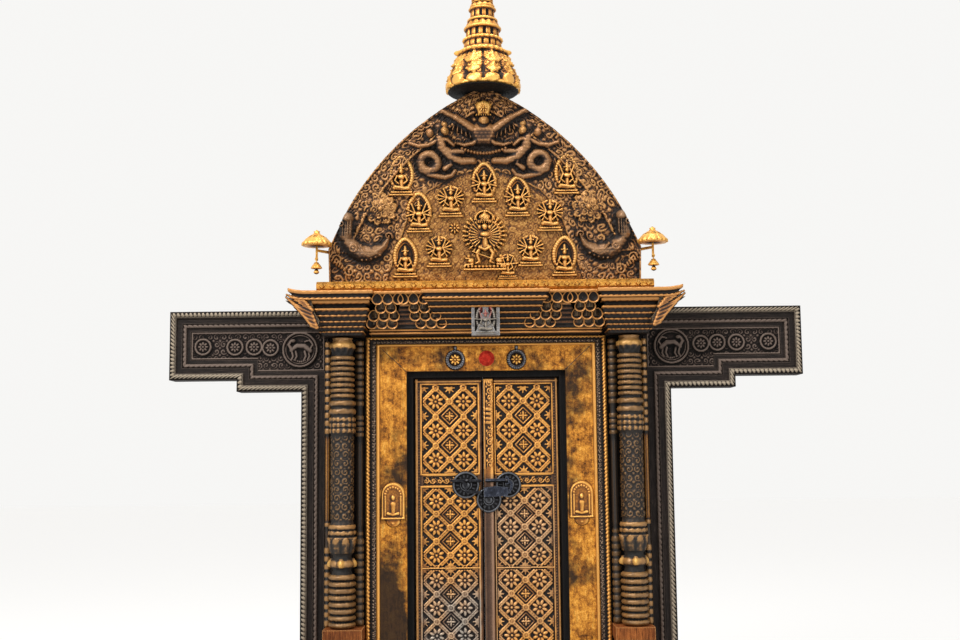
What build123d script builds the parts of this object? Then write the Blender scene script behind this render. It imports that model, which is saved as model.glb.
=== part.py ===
from build123d import *
import math
import os

# Carved temple door: a gilt double door in its own timber frame, with columns, cornice,
# leaning tympanum and finial. Millimetres. X runs to the viewer's right, Y away from the
# viewer, Z up. The origin is the middle of the sill's underside, on the line of the wall face.

os.makedirs("parts", exist_ok=True)

# Sill and overall frame
SILL_HEIGHT = 150.0
SILL_HALF = 960.0
SILL_FRONT = -200.0
FRAME_BACK = 130.0

# Outer timber frame with stepped wings
JAMB_OUT = 918.0
BOARD_OUT = 805.0
WING_OUT = 1576.0
WING_STEP = 1240.0
WING_TOP = 2125.0
WING_BOTTOM = 1783.0
WING_LOW = 1723.0
MID_BEAM_BOTTOM = 1990.0
OUTER_BACK = 90.0
STEP_WIDTHS = (32.0, 28.0, 20.0, 20.0)
STEP_FRONTS = (-40.0, -30.0, -22.0, -14.0)
CAPITAL_REACH = 890.0
PANEL_FLOOR = -4.0
PANEL_THICK = 7.0
PANEL_CLEAR = 0.3

# Doorway and its posts
OPEN_HALF = 397.0
OPEN_TOP = 1817.0
STOP_HALF = 368.0
STOP_TOP = 1788.0
POST_OUT = 600.0
POST_FRONT = 5.0
STOP_FRONT = 25.0
STOP_BACK = 57.0
GILT_FRONT = -15.0
GILT_WIDE = 133.0
GILT_HIGH = 124.0

# Leaves
LEAF_FRONT = 60.0
LEAF_THICK = 40.0
PIVOT_X = 385.0
PIVOT_R = 12.0
PIVOT_FIT = 0.05
PIVOT_TALL = 34.0
LEAF_GAP = 6.0
MEETING_X = -20.0
MEETING_GAP = 3.0
RELIEF_EDGE = 362.0
RELIEF_TOP = 1783.0
RELIEF_BOTTOM = 180.0
RELIEF_DEEP = 10.0
PANEL_X0 = 46.0
PANEL_X1 = 324.0
ROSETTE_X = (115.0, 255.0)
ROSETTE_R = 43.0
RING_R = 54.0
PANEL_ROWS = ((1310.0, 1748.0, (1376.0, 1521.0, 1667.0)),
              (846.0, 1236.0, (904.0, 1040.0, 1170.0)),
              (190.0, 838.0, (247.0, 380.0, 513.0, 647.0, 781.0)))
COVER_X1 = 36.0

# Lock
LOCK_Z = 1250.0
PLATE_X = 106.0
PLATE_R = 72.0

# Columns
COLUMN_X = 690.0
COLUMN_Y = -108.0
COLUMN_SIDES = 8
INNER_X = 626.0
INNER_Y = -38.0
OUTER_X = 768.0
OUTER_Y = -60.0
COLUMN_FOOT = 578.0
COLUMN_HEAD = 1982.0

# Cornice
CORNICE_BOTTOM = 2148.0
CORNICE_TOP = 2194.0
CORNICE_FRONT = -290.0
CORNICE_HALF = 965.0
BEAD_TOP = 2243.0
BEAD_HALF = 820.0
BEAD_FRONT = -236.0
BEAD_PITCH = 49.5
BEAD_COUNT = 33

# Tympanum, leaning forward on the cornice
TORANA_Y = -150.0
TORANA_LEAN = 12.0
TORANA_THICK = 45.0
TORANA_HALF = 768.0
TORANA_SHOULDER = (665.0, 371.0)
TORANA_FLANK = (446.0, 650.0)
TORANA_TOP = 946.0
RIM_WIDE = 92.0
RIM_DEEP = 22.0

# Parasols
PARASOL_X = 815.0
PARASOL_Y = -255.0
PARASOL_R = 70.0
PARASOL_RIM = 2422.0
PARASOL_PEAK = 2482.0
STEM_FOOT = 2350.0


def facing(y):
    """A sketch plane that faces the viewer at depth y: its own x is X, its own y is Z."""
    return Plane.XZ.offset(-y)


def save(piece, label):
    piece.part.label = label
    export_step(piece.part, f"parts/{label}.step")


def save_pair(left, name):
    """The left piece and its mirror image about the door's middle."""
    save(left, f"{name}_left")
    with BuildPart() as right:
        mirror(left.part, about=Plane.YZ)
    save(right, f"{name}_right")


def block(x0, x1, y0, y1, z0, z1, mode=Mode.ADD):
    with Locations(((x0 + x1) / 2, (y0 + y1) / 2, (z0 + z1) / 2)):
        Box(x1 - x0, y1 - y0, z1 - z0, mode=mode)


def slab(points, y_front, y_back):
    """An outline in X and Z, pushed back from y_front to y_back."""
    with BuildSketch(facing(y_front)) as outline:
        Polygon(*points, align=None)
    extrude(outline.sketch, amount=-(y_back - y_front))


def skin(outlines):
    """A flat-sided solid through closed outlines that have the same number of corners."""
    faces = [Face(Wire.make_polygon(outlines[0])), Face(Wire.make_polygon(outlines[-1]))]
    for low, high in zip(outlines, outlines[1:]):
        for i in range(len(low)):
            j = (i + 1) % len(low)
            faces.append(Face(Wire.make_polygon([low[i], low[j], high[j], high[i]])))
    solid = Solid(Shell(faces))
    return solid if solid.volume > 0 else skin([outline[::-1] for outline in outlines])


def ngon(x, y, radius, sides):
    """Corners of a regular polygon."""
    turns = [2 * math.pi * i / sides for i in range(sides)]
    return [(x + radius * math.cos(turn), y + radius * math.sin(turn)) for turn in turns]


def shrunk(points, share):
    """An outline drawn in towards its middle."""
    mx = sum(x for x, _ in points) / len(points)
    my = sum(y for _, y in points) / len(points)
    return [(mx + (x - mx) * share, my + (y - my) * share) for x, y in points]


def turned(x, y, profile, sides=COLUMN_SIDES):
    """A flat-sided turned form through (height, radius) pairs, from the bottom up."""
    add(skin([[(px, py, height) for px, py in ngon(x, y, radius, sides)]
              for height, radius in profile]))


def ring_stack(z0, z1, count, r_in, r_out):
    """Profile of a pile of rings between two heights, without its last point."""
    pitch = (z1 - z0) / count
    points = []
    for i in range(count):
        points.append((z0 + i * pitch, r_in))
        points.append((z0 + (i + 0.5) * pitch, r_out))
    return points


def tiers(sections, y_back):
    """A stepped form through plan rectangles (height, x0, x1, front), from the bottom up."""
    add(skin([[(x0, front, height), (x1, front, height), (x1, y_back, height),
               (x0, y_back, height)] for height, x0, x1, front in sections]))


def bosses(places, radius, y_front, deep, sides=8, top=0.55):
    """Flat-topped studs on a face that looks towards the viewer."""
    for x, z in places:
        foot = ngon(x, z, radius, sides)
        add(skin([[(px, y_front, pz) for px, pz in foot],
                  [(px, y_front - deep, pz) for px, pz in shrunk(foot, top)]]))


def mirrored(points):
    """Adds the mirror image of an outline given from its lower middle to its upper middle."""
    return points + [(-x, z) for x, z in reversed(points)]


# Threshold sill, with a socket for the foot pivot of each leaf
with BuildPart() as sill:
    with BuildSketch(Plane.YZ):
        nose = 22.0
        Polygon((SILL_FRONT, 0), (FRAME_BACK, 0), (FRAME_BACK, SILL_HEIGHT),
                (SILL_FRONT + nose, SILL_HEIGHT), (SILL_FRONT + nose, SILL_HEIGHT - nose),
                (SILL_FRONT, SILL_HEIGHT - nose), align=None)
    extrude(amount=SILL_HALF, both=True)
    pivot_y = LEAF_FRONT + LEAF_THICK / 2
    with Locations((-PIVOT_X, pivot_y, SILL_HEIGHT), (PIVOT_X, pivot_y, SILL_HEIGHT)):
        Hole(PIVOT_R + PIVOT_FIT, depth=PIVOT_TALL)
save(sill, "threshold_sill")


# Outer frame: one stepped outline, with mouldings that follow its edge inwards
def outer_outline():
    return mirrored([(JAMB_OUT, SILL_HEIGHT), (JAMB_OUT, WING_LOW), (WING_STEP, WING_LOW),
                     (WING_STEP, WING_BOTTOM), (WING_OUT, WING_BOTTOM), (WING_OUT, WING_TOP)])


def panel_outline(clearance):
    """The left wing's panel, inside the mouldings and up to the bay of the column."""
    inset = sum(STEP_WIDTHS) + clearance
    return [(-WING_OUT + inset, WING_BOTTOM + inset), (-WING_STEP + inset, WING_BOTTOM + inset),
            (-WING_STEP + inset, WING_LOW + inset), (-BOARD_OUT - clearance, WING_LOW + inset),
            (-BOARD_OUT - clearance, WING_TOP - inset), (-WING_OUT + inset, WING_TOP - inset)]


def outer_frame():
    """Plain plank, then one raised band after another, and the opening for the inner frame."""
    with BuildPart() as whole:
        with BuildSketch(facing(STEP_FRONTS[-1])):
            Polygon(*outer_outline(), align=None)
        extrude(amount=-(OUTER_BACK - STEP_FRONTS[-1]))
        inset = 0.0
        for width, front in zip(STEP_WIDTHS[:-1], STEP_FRONTS[:-1]):
            with BuildSketch(facing(STEP_FRONTS[-1])):
                Polygon(*outer_outline(), align=None)
                if inset:
                    offset(amount=-inset, kind=Kind.INTERSECTION, mode=Mode.REPLACE)
                with BuildSketch(mode=Mode.PRIVATE) as core:
                    Polygon(*outer_outline(), align=None)
                    offset(amount=-(inset + width), kind=Kind.INTERSECTION, mode=Mode.REPLACE)
                add(core.sketch, mode=Mode.SUBTRACT)
            extrude(amount=STEP_FRONTS[-1] - front)
            inset += width
        block(-BOARD_OUT, BOARD_OUT, -100, OUTER_BACK + 10, 0, MID_BEAM_BOTTOM, mode=Mode.SUBTRACT)
        block(-CAPITAL_REACH, CAPITAL_REACH, -100, STEP_FRONTS[-1], MID_BEAM_BOTTOM, WING_TOP + 1,
              mode=Mode.SUBTRACT)
        with BuildSketch(facing(STEP_FRONTS[-1])):
            Polygon(*panel_outline(0), align=None)
            mirror(about=Plane.YZ)
        extrude(amount=-(PANEL_FLOOR - STEP_FRONTS[-1]), mode=Mode.SUBTRACT)
    return whole


outer = outer_frame()
with BuildPart() as lintel:
    add(outer.part)
    split(bisect_by=Plane.XY.offset(WING_LOW), keep=Keep.TOP)
save(lintel, "outer_lintel")
with BuildPart() as jamb:
    add(outer.part)
    split(bisect_by=Plane.XY.offset(WING_LOW), keep=Keep.BOTTOM)
    split(bisect_by=Plane.YZ, keep=Keep.BOTTOM)
save_pair(jamb, "outer_jamb")

# Carved panels let into the wings: a scroll ground, four roundels and a medallion
MEDALLION = (-930.0, 1932.0)
MEDALLION_R = 88.0
ROUNDELS = ((-1416.0, 1950.0), (-1256.0, 1947.0), (-1160.0, 1947.0), (-1078.0, 1942.0))
ROUNDEL_R = 38.0
with BuildPart() as wing_panel:
    panel_front = PANEL_FLOOR - PANEL_THICK
    with BuildSketch(facing(PANEL_FLOOR)):
        Polygon(*panel_outline(PANEL_CLEAR), align=None)
    extrude(amount=PANEL_THICK)
    with BuildSketch(facing(panel_front)):
        with Locations(MEDALLION):
            RegularPolygon(MEDALLION_R, 14)
            RegularPolygon(MEDALLION_R - 14, 14, mode=Mode.SUBTRACT)
    extrude(amount=9)
    bosses([MEDALLION], MEDALLION_R - 26, panel_front, 6, sides=8, top=0.7)
    bosses(ROUNDELS, ROUNDEL_R, panel_front, 8, sides=8, top=0.75)
    leaf_spots = [(-1336, 1910), (-1336, 1985), (-1208, 1910), (-1208, 1992), (-1110, 1890),
                  (-1035, 1860), (-1035, 1990), (-1060, 1950)]
    bosses(leaf_spots, 24, panel_front, 6, sides=4, top=0.4)
save_pair(wing_panel, "wing_panel")


# Inner frame: posts, head beam and the boards behind the columns
with BuildPart() as post:
    with BuildSketch(Plane.XY.offset(SILL_HEIGHT)):
        Polygon((-POST_OUT, POST_FRONT), (-OPEN_HALF, POST_FRONT), (-OPEN_HALF, STOP_FRONT),
                (-STOP_HALF, STOP_FRONT), (-STOP_HALF, STOP_BACK),
                (-PIVOT_X - LEAF_THICK / 2 - MEETING_GAP, STOP_BACK),
                (-PIVOT_X - LEAF_THICK / 2 - MEETING_GAP, FRAME_BACK),
                (-POST_OUT, FRAME_BACK), align=None)
    extrude(amount=STOP_TOP - SILL_HEIGHT)
save_pair(post, "door_post")

LEAF_BOTTOM = SILL_HEIGHT + LEAF_GAP
LEAF_TOP = STOP_TOP + 34.0
REBATE_TOP = LEAF_TOP + LEAF_GAP
with BuildPart() as head:
    block(-POST_OUT, POST_OUT, POST_FRONT, FRAME_BACK, STOP_TOP, MID_BEAM_BOTTOM)
    block(-OPEN_HALF, OPEN_HALF, POST_FRONT, STOP_FRONT, STOP_TOP, OPEN_TOP, mode=Mode.SUBTRACT)
    rebate_half = PIVOT_X + LEAF_THICK / 2 + MEETING_GAP
    block(-rebate_half, rebate_half, STOP_BACK, FRAME_BACK, STOP_TOP, REBATE_TOP,
          mode=Mode.SUBTRACT)
    with Locations(Plane.XY.offset(REBATE_TOP + PIVOT_TALL)):
        with Locations((-PIVOT_X, pivot_y), (PIVOT_X, pivot_y)):
            Hole(PIVOT_R + PIVOT_FIT, depth=PIVOT_TALL)
save(head, "head_beam")

BOARD_BACK = 60.0
with BuildPart() as column_board:
    block(-BOARD_OUT, -POST_OUT, POST_FRONT, BOARD_BACK, SILL_HEIGHT, MID_BEAM_BOTTOM)
    block(-BOARD_OUT, -BOARD_OUT + 12, POST_FRONT - 12, POST_FRONT, SILL_HEIGHT, MID_BEAM_BOTTOM)
save_pair(column_board, "column_board")

# Gilt sheets over the inner frame, mitred at the upper corners
GILT_OUT = OPEN_HALF + GILT_WIDE
GILT_TOP = OPEN_TOP + GILT_HIGH
with BuildPart() as gilt_jamb:
    slab([(-OPEN_HALF, SILL_HEIGHT), (-GILT_OUT, SILL_HEIGHT), (-GILT_OUT, GILT_TOP),
          (-OPEN_HALF, OPEN_TOP)], GILT_FRONT, POST_FRONT)
save_pair(gilt_jamb, "gilt_jamb")
with BuildPart() as gilt_lintel:
    slab([(-OPEN_HALF, OPEN_TOP), (OPEN_HALF, OPEN_TOP), (GILT_OUT, GILT_TOP),
          (-GILT_OUT, GILT_TOP)], GILT_FRONT, POST_FRONT)
save(gilt_lintel, "gilt_lintel")

# Moulded border round the gilt sheets: a fillet, a patterned band and an outer bead
MOULD_SIDE = POST_OUT - GILT_OUT
MOULD_TOP = MID_BEAM_BOTTOM - GILT_TOP
MOULD_BANDS = ((0.0, -24.0), (0.26, -18.0), (0.66, -34.0))
with BuildPart() as gilt_moulding:
    for share, front in MOULD_BANDS:
        half = GILT_OUT + share * MOULD_SIDE
        top = GILT_TOP + share * MOULD_TOP
        with BuildSketch(facing(POST_FRONT)):
            Polygon(*mirrored([(POST_OUT, SILL_HEIGHT), (POST_OUT, MID_BEAM_BOTTOM)]), align=None)
            Polygon(*mirrored([(half, SILL_HEIGHT), (half, top)]), align=None, mode=Mode.SUBTRACT)
        extrude(amount=POST_FRONT - front)
save(gilt_moulding, "gilt_moulding")

# Ornaments on the gilt lintel and jambs
RING_X = 153.0
RING_Z = 1872.0
with BuildPart() as lintel_rings:
    for x in (-RING_X, RING_X):
        with BuildSketch(facing(GILT_FRONT)):
            with Locations((x, RING_Z)):
                RegularPolygon(47, 12)
                RegularPolygon(31, 12, mode=Mode.SUBTRACT)
            Polygon((x - 18, RING_Z + 41), (x + 18, RING_Z + 41), (x, RING_Z + 62), align=None)
        extrude(amount=9)
        bosses([(x, RING_Z)], 30, GILT_FRONT, 7, sides=10, top=0.7)
save(lintel_rings, "lintel_rings")
with BuildPart() as lintel_boss:
    bosses([(4, 1878)], 40, GILT_FRONT, 16, sides=12, top=0.5)
save(lintel_boss, "lintel_boss")

NICHE_X = 465.0
NICHE_Z = (1085.0, 1268.0)
NICHE_HALF = 60.0
with BuildPart() as jamb_plaques:
    for x in (-NICHE_X, NICHE_X):
        spring = NICHE_Z[1] - NICHE_HALF
        middle = (NICHE_Z[0] + spring) / 2
        for half, rise, deep in ((NICHE_HALF, 0.0, 5.0), (NICHE_HALF - 18, 22.0, 11.0)):
            foot = NICHE_Z[0] + rise
            with BuildSketch(facing(GILT_FRONT)):
                with Locations((x, (foot + spring) / 2)):
                    Rectangle(2 * half, spring - foot)
                with Locations((x, spring)):
                    RegularPolygon(half, 12)
                if not rise:
                    with Locations((x, foot)):
                        RegularPolygon(half * 0.55, 8)
            extrude(amount=deep)
save(jamb_plaques, "jamb_plaques")


# Columns: each is a pile of rings, a carved shaft and a waisted foot on a block
def main_profile():
    points = ring_stack(COLUMN_FOOT, 839, 7, 54, 67)
    points += [(839, 52), (862, 46), (880, 60), (905, 60), (925, 46), (950, 58), (1010, 66)]
    points += [(1018, 58), (1030, 67), (1056, 67), (1070, 58), (1085, 56), (1507, 56)]
    points += ring_stack(1517, 1586, 3, 57, 63)
    points += [(1592, 58), (1600, 67), (1630, 67), (1638, 60), (1645, 68), (1668, 68)]
    points += ring_stack(1676, 1894, 7, 56, 66)
    points += [(1894, 48), (1925, 60), (1950, 60), (1964, 44), (COLUMN_HEAD, 52)]
    return points


with BuildPart() as column:
    turned(-COLUMN_X, COLUMN_Y, main_profile())
save_pair(column, "main_column")


def slim_profile(slim, wide):
    points = ring_stack(COLUMN_FOOT, 1000, 4, slim, wide)
    points += [(1010, slim), (1500, slim)]
    points += ring_stack(1510, COLUMN_HEAD - 20, 5, slim, wide)
    points += [(COLUMN_HEAD, slim)]
    return points


with BuildPart() as slim_shafts:
    turned(-INNER_X, INNER_Y, slim_profile(17, 23), sides=6)
    turned(-OUTER_X, OUTER_Y, slim_profile(12, 16), sides=5)
save_pair(slim_shafts, "slim_shafts")

PEDESTAL = (-790.0, -603.0)
PEDESTAL_FRONT = -184.0
PEDESTAL_BACK = POST_FRONT - 12.0
with BuildPart() as pedestal:
    x0, x1 = PEDESTAL
    tiers([(SILL_HEIGHT, x0, x1, PEDESTAL_FRONT), (200, x0, x1, PEDESTAL_FRONT),
           (222, x0 + 12, x1 - 8, PEDESTAL_FRONT + 12), (500, x0 + 12, x1 - 8, PEDESTAL_FRONT + 12),
           (522, x0, x1, PEDESTAL_FRONT), (COLUMN_FOOT, x0, x1, PEDESTAL_FRONT)], PEDESTAL_BACK)
save_pair(pedestal, "column_pedestal")

# Capitals: tiers that step out towards the cornice
BEAM_FACE = STEP_FRONTS[-1]
with BuildPart() as capital:
    tiers([(COLUMN_HEAD, -795, -603, -184), (2000, -795, -603, -184), (2004, -806, -603, -192),
           (2026, -806, -600, -192), (2030, -818, -592, -206), (2050, -818, -592, -206),
           (2054, -832, -584, -222), (2078, -838, -580, -226), (2082, -852, -572, -242),
           (2106, -858, -568, -250), (2112, -836, -584, -222), (2134, -846, -574, -236),
           (CORNICE_BOTTOM, -862, -560, -262)], BEAM_FACE)
save_pair(capital, "capital")

# Leaf brackets at the outer corners, sweeping up to the tips of the cornice
with BuildPart() as corner_leaves:
    for side in (-1, 1):
        outline = [(808, 2010), (838, 2018), (842, 2042), (862, 2046), (866, 2076), (888, 2084),
                   (892, 2112), (926, 2120), (930, 2138), (CORNICE_HALF, CORNICE_BOTTOM),
                   (840, CORNICE_BOTTOM), (830, 2108), (820, 2078), (800, 2050)]
        slab([(side * x, z) for x, z in outline], -262, -120)
        capital_side = capital.part if side < 0 else capital.part.mirror(Plane.YZ)
        add(capital_side, mode=Mode.SUBTRACT)
save(corner_leaves, "corner_leaves")

# Cornice board with its upturned tips, and a thicker middle block
with BuildPart() as cornice:
    slab(mirrored([(0, CORNICE_BOTTOM), (CORNICE_HALF - 30, CORNICE_BOTTOM),
                   (CORNICE_HALF + 8, CORNICE_TOP + 8), (CORNICE_HALF - 30, CORNICE_TOP + 2),
                   (CORNICE_HALF - 90, CORNICE_TOP), (0, CORNICE_TOP)])[1:-1],
         CORNICE_FRONT + 12, BEAM_FACE)
    block(-CORNICE_HALF + 110, CORNICE_HALF - 110, CORNICE_FRONT, CORNICE_FRONT + 12,
          CORNICE_BOTTOM + 12, CORNICE_TOP)
save(cornice, "cornice_board")

MIDDLE_TOP_HALF = 290.0
with BuildPart() as middle_block:
    tiers([(MID_BEAM_BOTTOM + 28, -214, 214, -150), (2040, -214, 214, -150), (2044, -222, 222, -170),
           (2066, -222, 222, -170), (2070, -236, 236, -190), (2092, -236, 236, -190),
           (2096, -254, 254, -212), (2118, -260, 260, -220),
           (2124, -MIDDLE_TOP_HALF, MIDDLE_TOP_HALF, -246),
           (CORNICE_BOTTOM, -MIDDLE_TOP_HALF, MIDDLE_TOP_HALF, -262)], BEAM_FACE)
    block(-72, 72, -300, -190, 1900, CORNICE_BOTTOM, mode=Mode.SUBTRACT)
    tiers([(MID_BEAM_BOTTOM, -560, 560, -128), (MID_BEAM_BOTTOM + 11, -560, 560, -128),
           (MID_BEAM_BOTTOM + 14, -560, 560, -142), (MID_BEAM_BOTTOM + 28, -560, 560, -142)],
          BEAM_FACE)
save(middle_block, "middle_block")

with BuildPart() as stepped_brackets:
    for side in (-1, 1):
        middle = side * 384
        sections = []
        for i in range(5):
            z0 = MID_BEAM_BOTTOM + 28 + i * 26
            half = 74 - i * 13
            front = -150 - i * 18
            sections += [(z0, middle - half, middle + half, front),
                         (z0 + 18, middle - half, middle + half, front)]
        tiers(sections + [(CORNICE_BOTTOM, middle - 20, middle + 20, -230)], BEAM_FACE)
save(stepped_brackets, "stepped_brackets")


# Lotus brackets: rows of cups that step forward and outward
def cup_cluster(middle, lean):
    for row in range(3):
        for i in range(2 + row % 2):
            x = middle + (i - (1 + row % 2) / 2) * 44 + lean * row
            y = -150 - row * 34
            z = 2030 + row * 38
            turned(x, y, [(z, 17), (z + 36, 27)], sides=4)


with BuildPart() as lotus_brackets:
    for side in (-1, 1):
        for middle, lean, half in ((502, -10, 50), (262, 32, 42)):
            cup_cluster(side * middle, side * lean)
            top = middle + 2 * lean
            low = sorted((side * (middle - half), side * (middle + half)))
            high = sorted((side * (top - half), side * (top + half)))
            tiers([(MID_BEAM_BOTTOM + 28, low[0], low[1], -146),
                   (CORNICE_BOTTOM, high[0], high[1], -226)], BEAM_FACE)
        add(capital.part if side < 0 else capital.part.mirror(Plane.YZ), mode=Mode.SUBTRACT)
    add(middle_block.part, mode=Mode.SUBTRACT)
    add(stepped_brackets.part, mode=Mode.SUBTRACT)
save(lotus_brackets, "lotus_brackets")

# Framed plaque with a small seated figure, in front of the middle block
with BuildPart() as centre_plaque:
    slab([(-68, 1972), (68, 1972), (68, 2146), (-68, 2146)], -214, -190)
    slab([(-68, 1972), (68, 1972), (68, 1992), (-68, 1992)], -238, -214)
    slab([(-68, 1992), (-54, 1992), (-54, 2146), (-68, 2146)], -232, -214)
    slab([(54, 1992), (68, 1992), (68, 2146), (54, 2146)], -232, -214)
    slab([(-46, 1992), (46, 1992), (34, 2026), (20, 2030), (26, 2076), (12, 2084), (14, 2112),
          (0, 2128), (-14, 2112), (-12, 2084), (-26, 2076), (-20, 2030), (-34, 2026)],
         -236, -214)
save(centre_plaque, "centre_plaque")

# Beaded moulding on the cornice
with BuildPart() as beaded_moulding:
    with BuildSketch(Plane.YZ):
        high = BEAD_TOP - CORNICE_TOP
        Polygon((BEAD_FRONT + 16, CORNICE_TOP), (TORANA_Y + 60, CORNICE_TOP),
                (TORANA_Y + 60, BEAD_TOP), (BEAD_FRONT + 16, BEAD_TOP),
                (BEAD_FRONT, BEAD_TOP - 0.3 * high), (BEAD_FRONT, CORNICE_TOP + 0.3 * high),
                align=None)
    extrude(amount=BEAD_HALF, both=True)
    span = BEAD_PITCH * (BEAD_COUNT - 1)
    beads = [(-span / 2 + i * BEAD_PITCH, CORNICE_TOP + high / 2) for i in range(BEAD_COUNT)]
    bosses(beads, 17, BEAD_FRONT, 9, sides=4, top=0.5)
save(beaded_moulding, "beaded_moulding")


# Tympanum: everything on it is placed on its leaning front face
LEAN = math.radians(TORANA_LEAN)
FACE = Plane(origin=(0, TORANA_Y, BEAD_TOP), x_dir=(1, 0, 0),
             z_dir=(0, -math.cos(LEAN), -math.sin(LEAN)))


def torana_outline(inset=0.0):
    """Pointed outline: upright sides, then one bow on each side up to the tip."""
    with BuildSketch(mode=Mode.PRIVATE) as outline:
        with BuildLine():
            low = (-TORANA_HALF, -40)
            side = (-TORANA_HALF, 170)
            shoulder = (-TORANA_SHOULDER[0], TORANA_SHOULDER[1])
            flank = (-TORANA_FLANK[0], TORANA_FLANK[1])
            tip = (0, TORANA_TOP)
            Polyline(low, side, shoulder)
            ThreePointArc(shoulder, flank, tip)
            ThreePointArc(tip, (-flank[0], flank[1]), (-shoulder[0], shoulder[1]))
            Polyline((-shoulder[0], shoulder[1]), (-side[0], side[1]), (-low[0], low[1]))
            Line((-low[0], low[1]), low)
        make_face()
        if inset:
            offset(amount=-inset, kind=Kind.INTERSECTION, mode=Mode.REPLACE)
    return outline.sketch


with BuildPart() as board:
    with BuildSketch(FACE):
        add(torana_outline())
    extrude(amount=-TORANA_THICK)
    split(bisect_by=Plane.XY.offset(BEAD_TOP), keep=Keep.TOP)
save(board, "torana_board")


def relief(points, deep, base=0.0, top=1.0):
    """A raised outline on the tympanum's face, drawn in at its top by the given share."""
    levels = ((base, points), (base + deep, shrunk(points, top)))
    add(skin([[tuple(FACE.from_local_coords((x, w, high))) for x, w in outline]
              for high, outline in levels]))


def stud(x, w, radius, deep, base=0.0, sides=8, top=1.0):
    relief(ngon(x, w, radius, sides), deep, base, top)


def bow(start, middle, end, steps):
    """Points along the arc through three points."""
    arc = Edge.make_three_point_arc(start, middle, end)
    return [(arc.position_at(i / steps).X, arc.position_at(i / steps).Y)
            for i in range(steps + 1)]


# Bird-man at the top, with a tall crown and raised arms
with BuildPart() as bird_man:
    relief([(-44, 796), (44, 796), (36, 868), (0, 890), (-36, 868)], 46, top=0.85)
    stud(0, 782, 30, 50, sides=10, top=0.65)
    relief([(-66, 745), (-16, 764), (16, 764), (66, 745), (52, 690), (30, 668), (-30, 668),
            (-52, 690)], 44, top=0.88)
    for side in (-1, 1):
        relief([(side * 58, 746), (side * 120, 800), (side * 206, 838), (side * 206, 812),
                (side * 130, 764), (side * 62, 706)], 30)
        relief([(side * 8, 700), (side * 60, 690), (side * 92, 640), (side * 20, 632)], 34)
save(bird_man, "bird_man")

# Serpent folk at each side of the bird-man, with coiled tails
with BuildPart() as serpent:
    with BuildSketch(FACE):
        with Locations((-266, 590)):
            RegularPolygon(58, 14)
            RegularPolygon(20, 8, mode=Mode.SUBTRACT)
    extrude(amount=30)
    relief([(-250, 550), (-190, 534), (-140, 548), (-146, 528), (-196, 508), (-262, 518)], 26)
    relief([(-240, 624), (-170, 612), (-120, 588), (-84, 590), (-90, 622), (-140, 650),
            (-196, 680)], 32)
    relief([(-206, 676), (-176, 664), (-166, 716), (-204, 722)], 36)
    stud(-186, 736, 24, 34, top=0.7)
    relief([(-300, 712), (-226, 730), (-186, 712), (-190, 690), (-262, 682)], 24)
with BuildPart() as serpents:
    add(serpent.part)
    mirror(about=Plane.YZ)
save(serpents, "serpents")

# Makara at each lower corner: a boat-shaped body with a raised trunk
with BuildPart() as makara:
    relief(bow((-738, 262), (-620, 98), (-462, 236), 10)
           + bow((-488, 224), (-592, 172), (-660, 250), 7), 46, top=0.94)
    relief([(-740, 250), (-658, 246), (-672, 300), (-690, 340), (-724, 344), (-742, 316)], 58,
           top=0.85)
    stud(-712, 322, 28, 66, sides=10, top=0.75)
    stud(-628, 214, 26, 34, top=0.7)
save_pair(makara, "makara")

# Flower bosses above the makaras
with BuildPart() as flower_bosses:
    for side in (-1, 1):
        stud(side * 507, 366, 75, 26, sides=16, top=0.88)
        stud(side * 507, 366, 58, 18, base=26, sides=12, top=0.78)
        stud(side * 507, 366, 26, 10, base=44, sides=8, top=0.85)
save(flower_bosses, "flower_bosses")

# Cast deity plaques, all alike: plinth, pointed halo, crossed legs, body, head and crown
PLAQUES = ((-403, 518), (403, 518), (0, 480), (-163, 411), (163, 411), (-320, 338), (320, 338),
           (-224, 167), (224, 167), (-390, 118), (390, 118))


def deity(x, w, size):
    def at(points):
        return [(x + size * px, w + size * pw) for px, pw in points]
    relief(at([(-60, -84), (60, -84), (60, -64), (-60, -64)]), 34)
    relief(at([(-52, -64), (52, -64), (54, 24), (0, 88), (-54, 24)]), 12)
    relief(at([(-44, -64), (44, -64), (36, -40), (-36, -40)]), 32)
    relief(at([(-18, -40), (18, -40), (26, 14), (-26, 14)]), 28)
    relief(at([(-13, 14), (13, 14), (12, 42), (0, 62), (-12, 42)]), 30)


with BuildPart() as plaques:
    for x, w in PLAQUES:
        deity(x, w, 1.0)
save(plaques, "deity_plaques")

# Larger many-armed deity in the middle, with a fan of arms
with BuildPart() as central_deity:
    relief([(-104, 62), (104, 62), (104, 84), (-104, 84)], 44)
    relief([(-66, 84), (66, 84), (54, 124), (-54, 124)], 40)
    relief([(-24, 124), (24, 124), (32, 200), (-32, 200)], 42)
    stud(0, 224, 24, 44, sides=10, top=0.7)
    relief([(-22, 246), (22, 246), (30, 290), (0, 330), (-30, 290)], 26)
    for side in (-1, 1):
        for k in range(5):
            turn = math.radians(-40 + 26 * k)
            ux, uw = math.cos(turn), math.sin(turn)
            root = (side * 20, 190 - 6 * (2 - k))
            tip = (side * (20 + 88 * ux), root[1] + 88 * uw)
            across = (side * uw * 8, -ux * 8)
            relief([(root[0] - across[0], root[1] - across[1]),
                    (root[0] + across[0], root[1] + across[1]),
                    (tip[0] + across[0], tip[1] + across[1]),
                    (tip[0] - across[0], tip[1] - across[1])], 24 + 3 * (k % 2))
save(central_deity, "central_deity")

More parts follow.
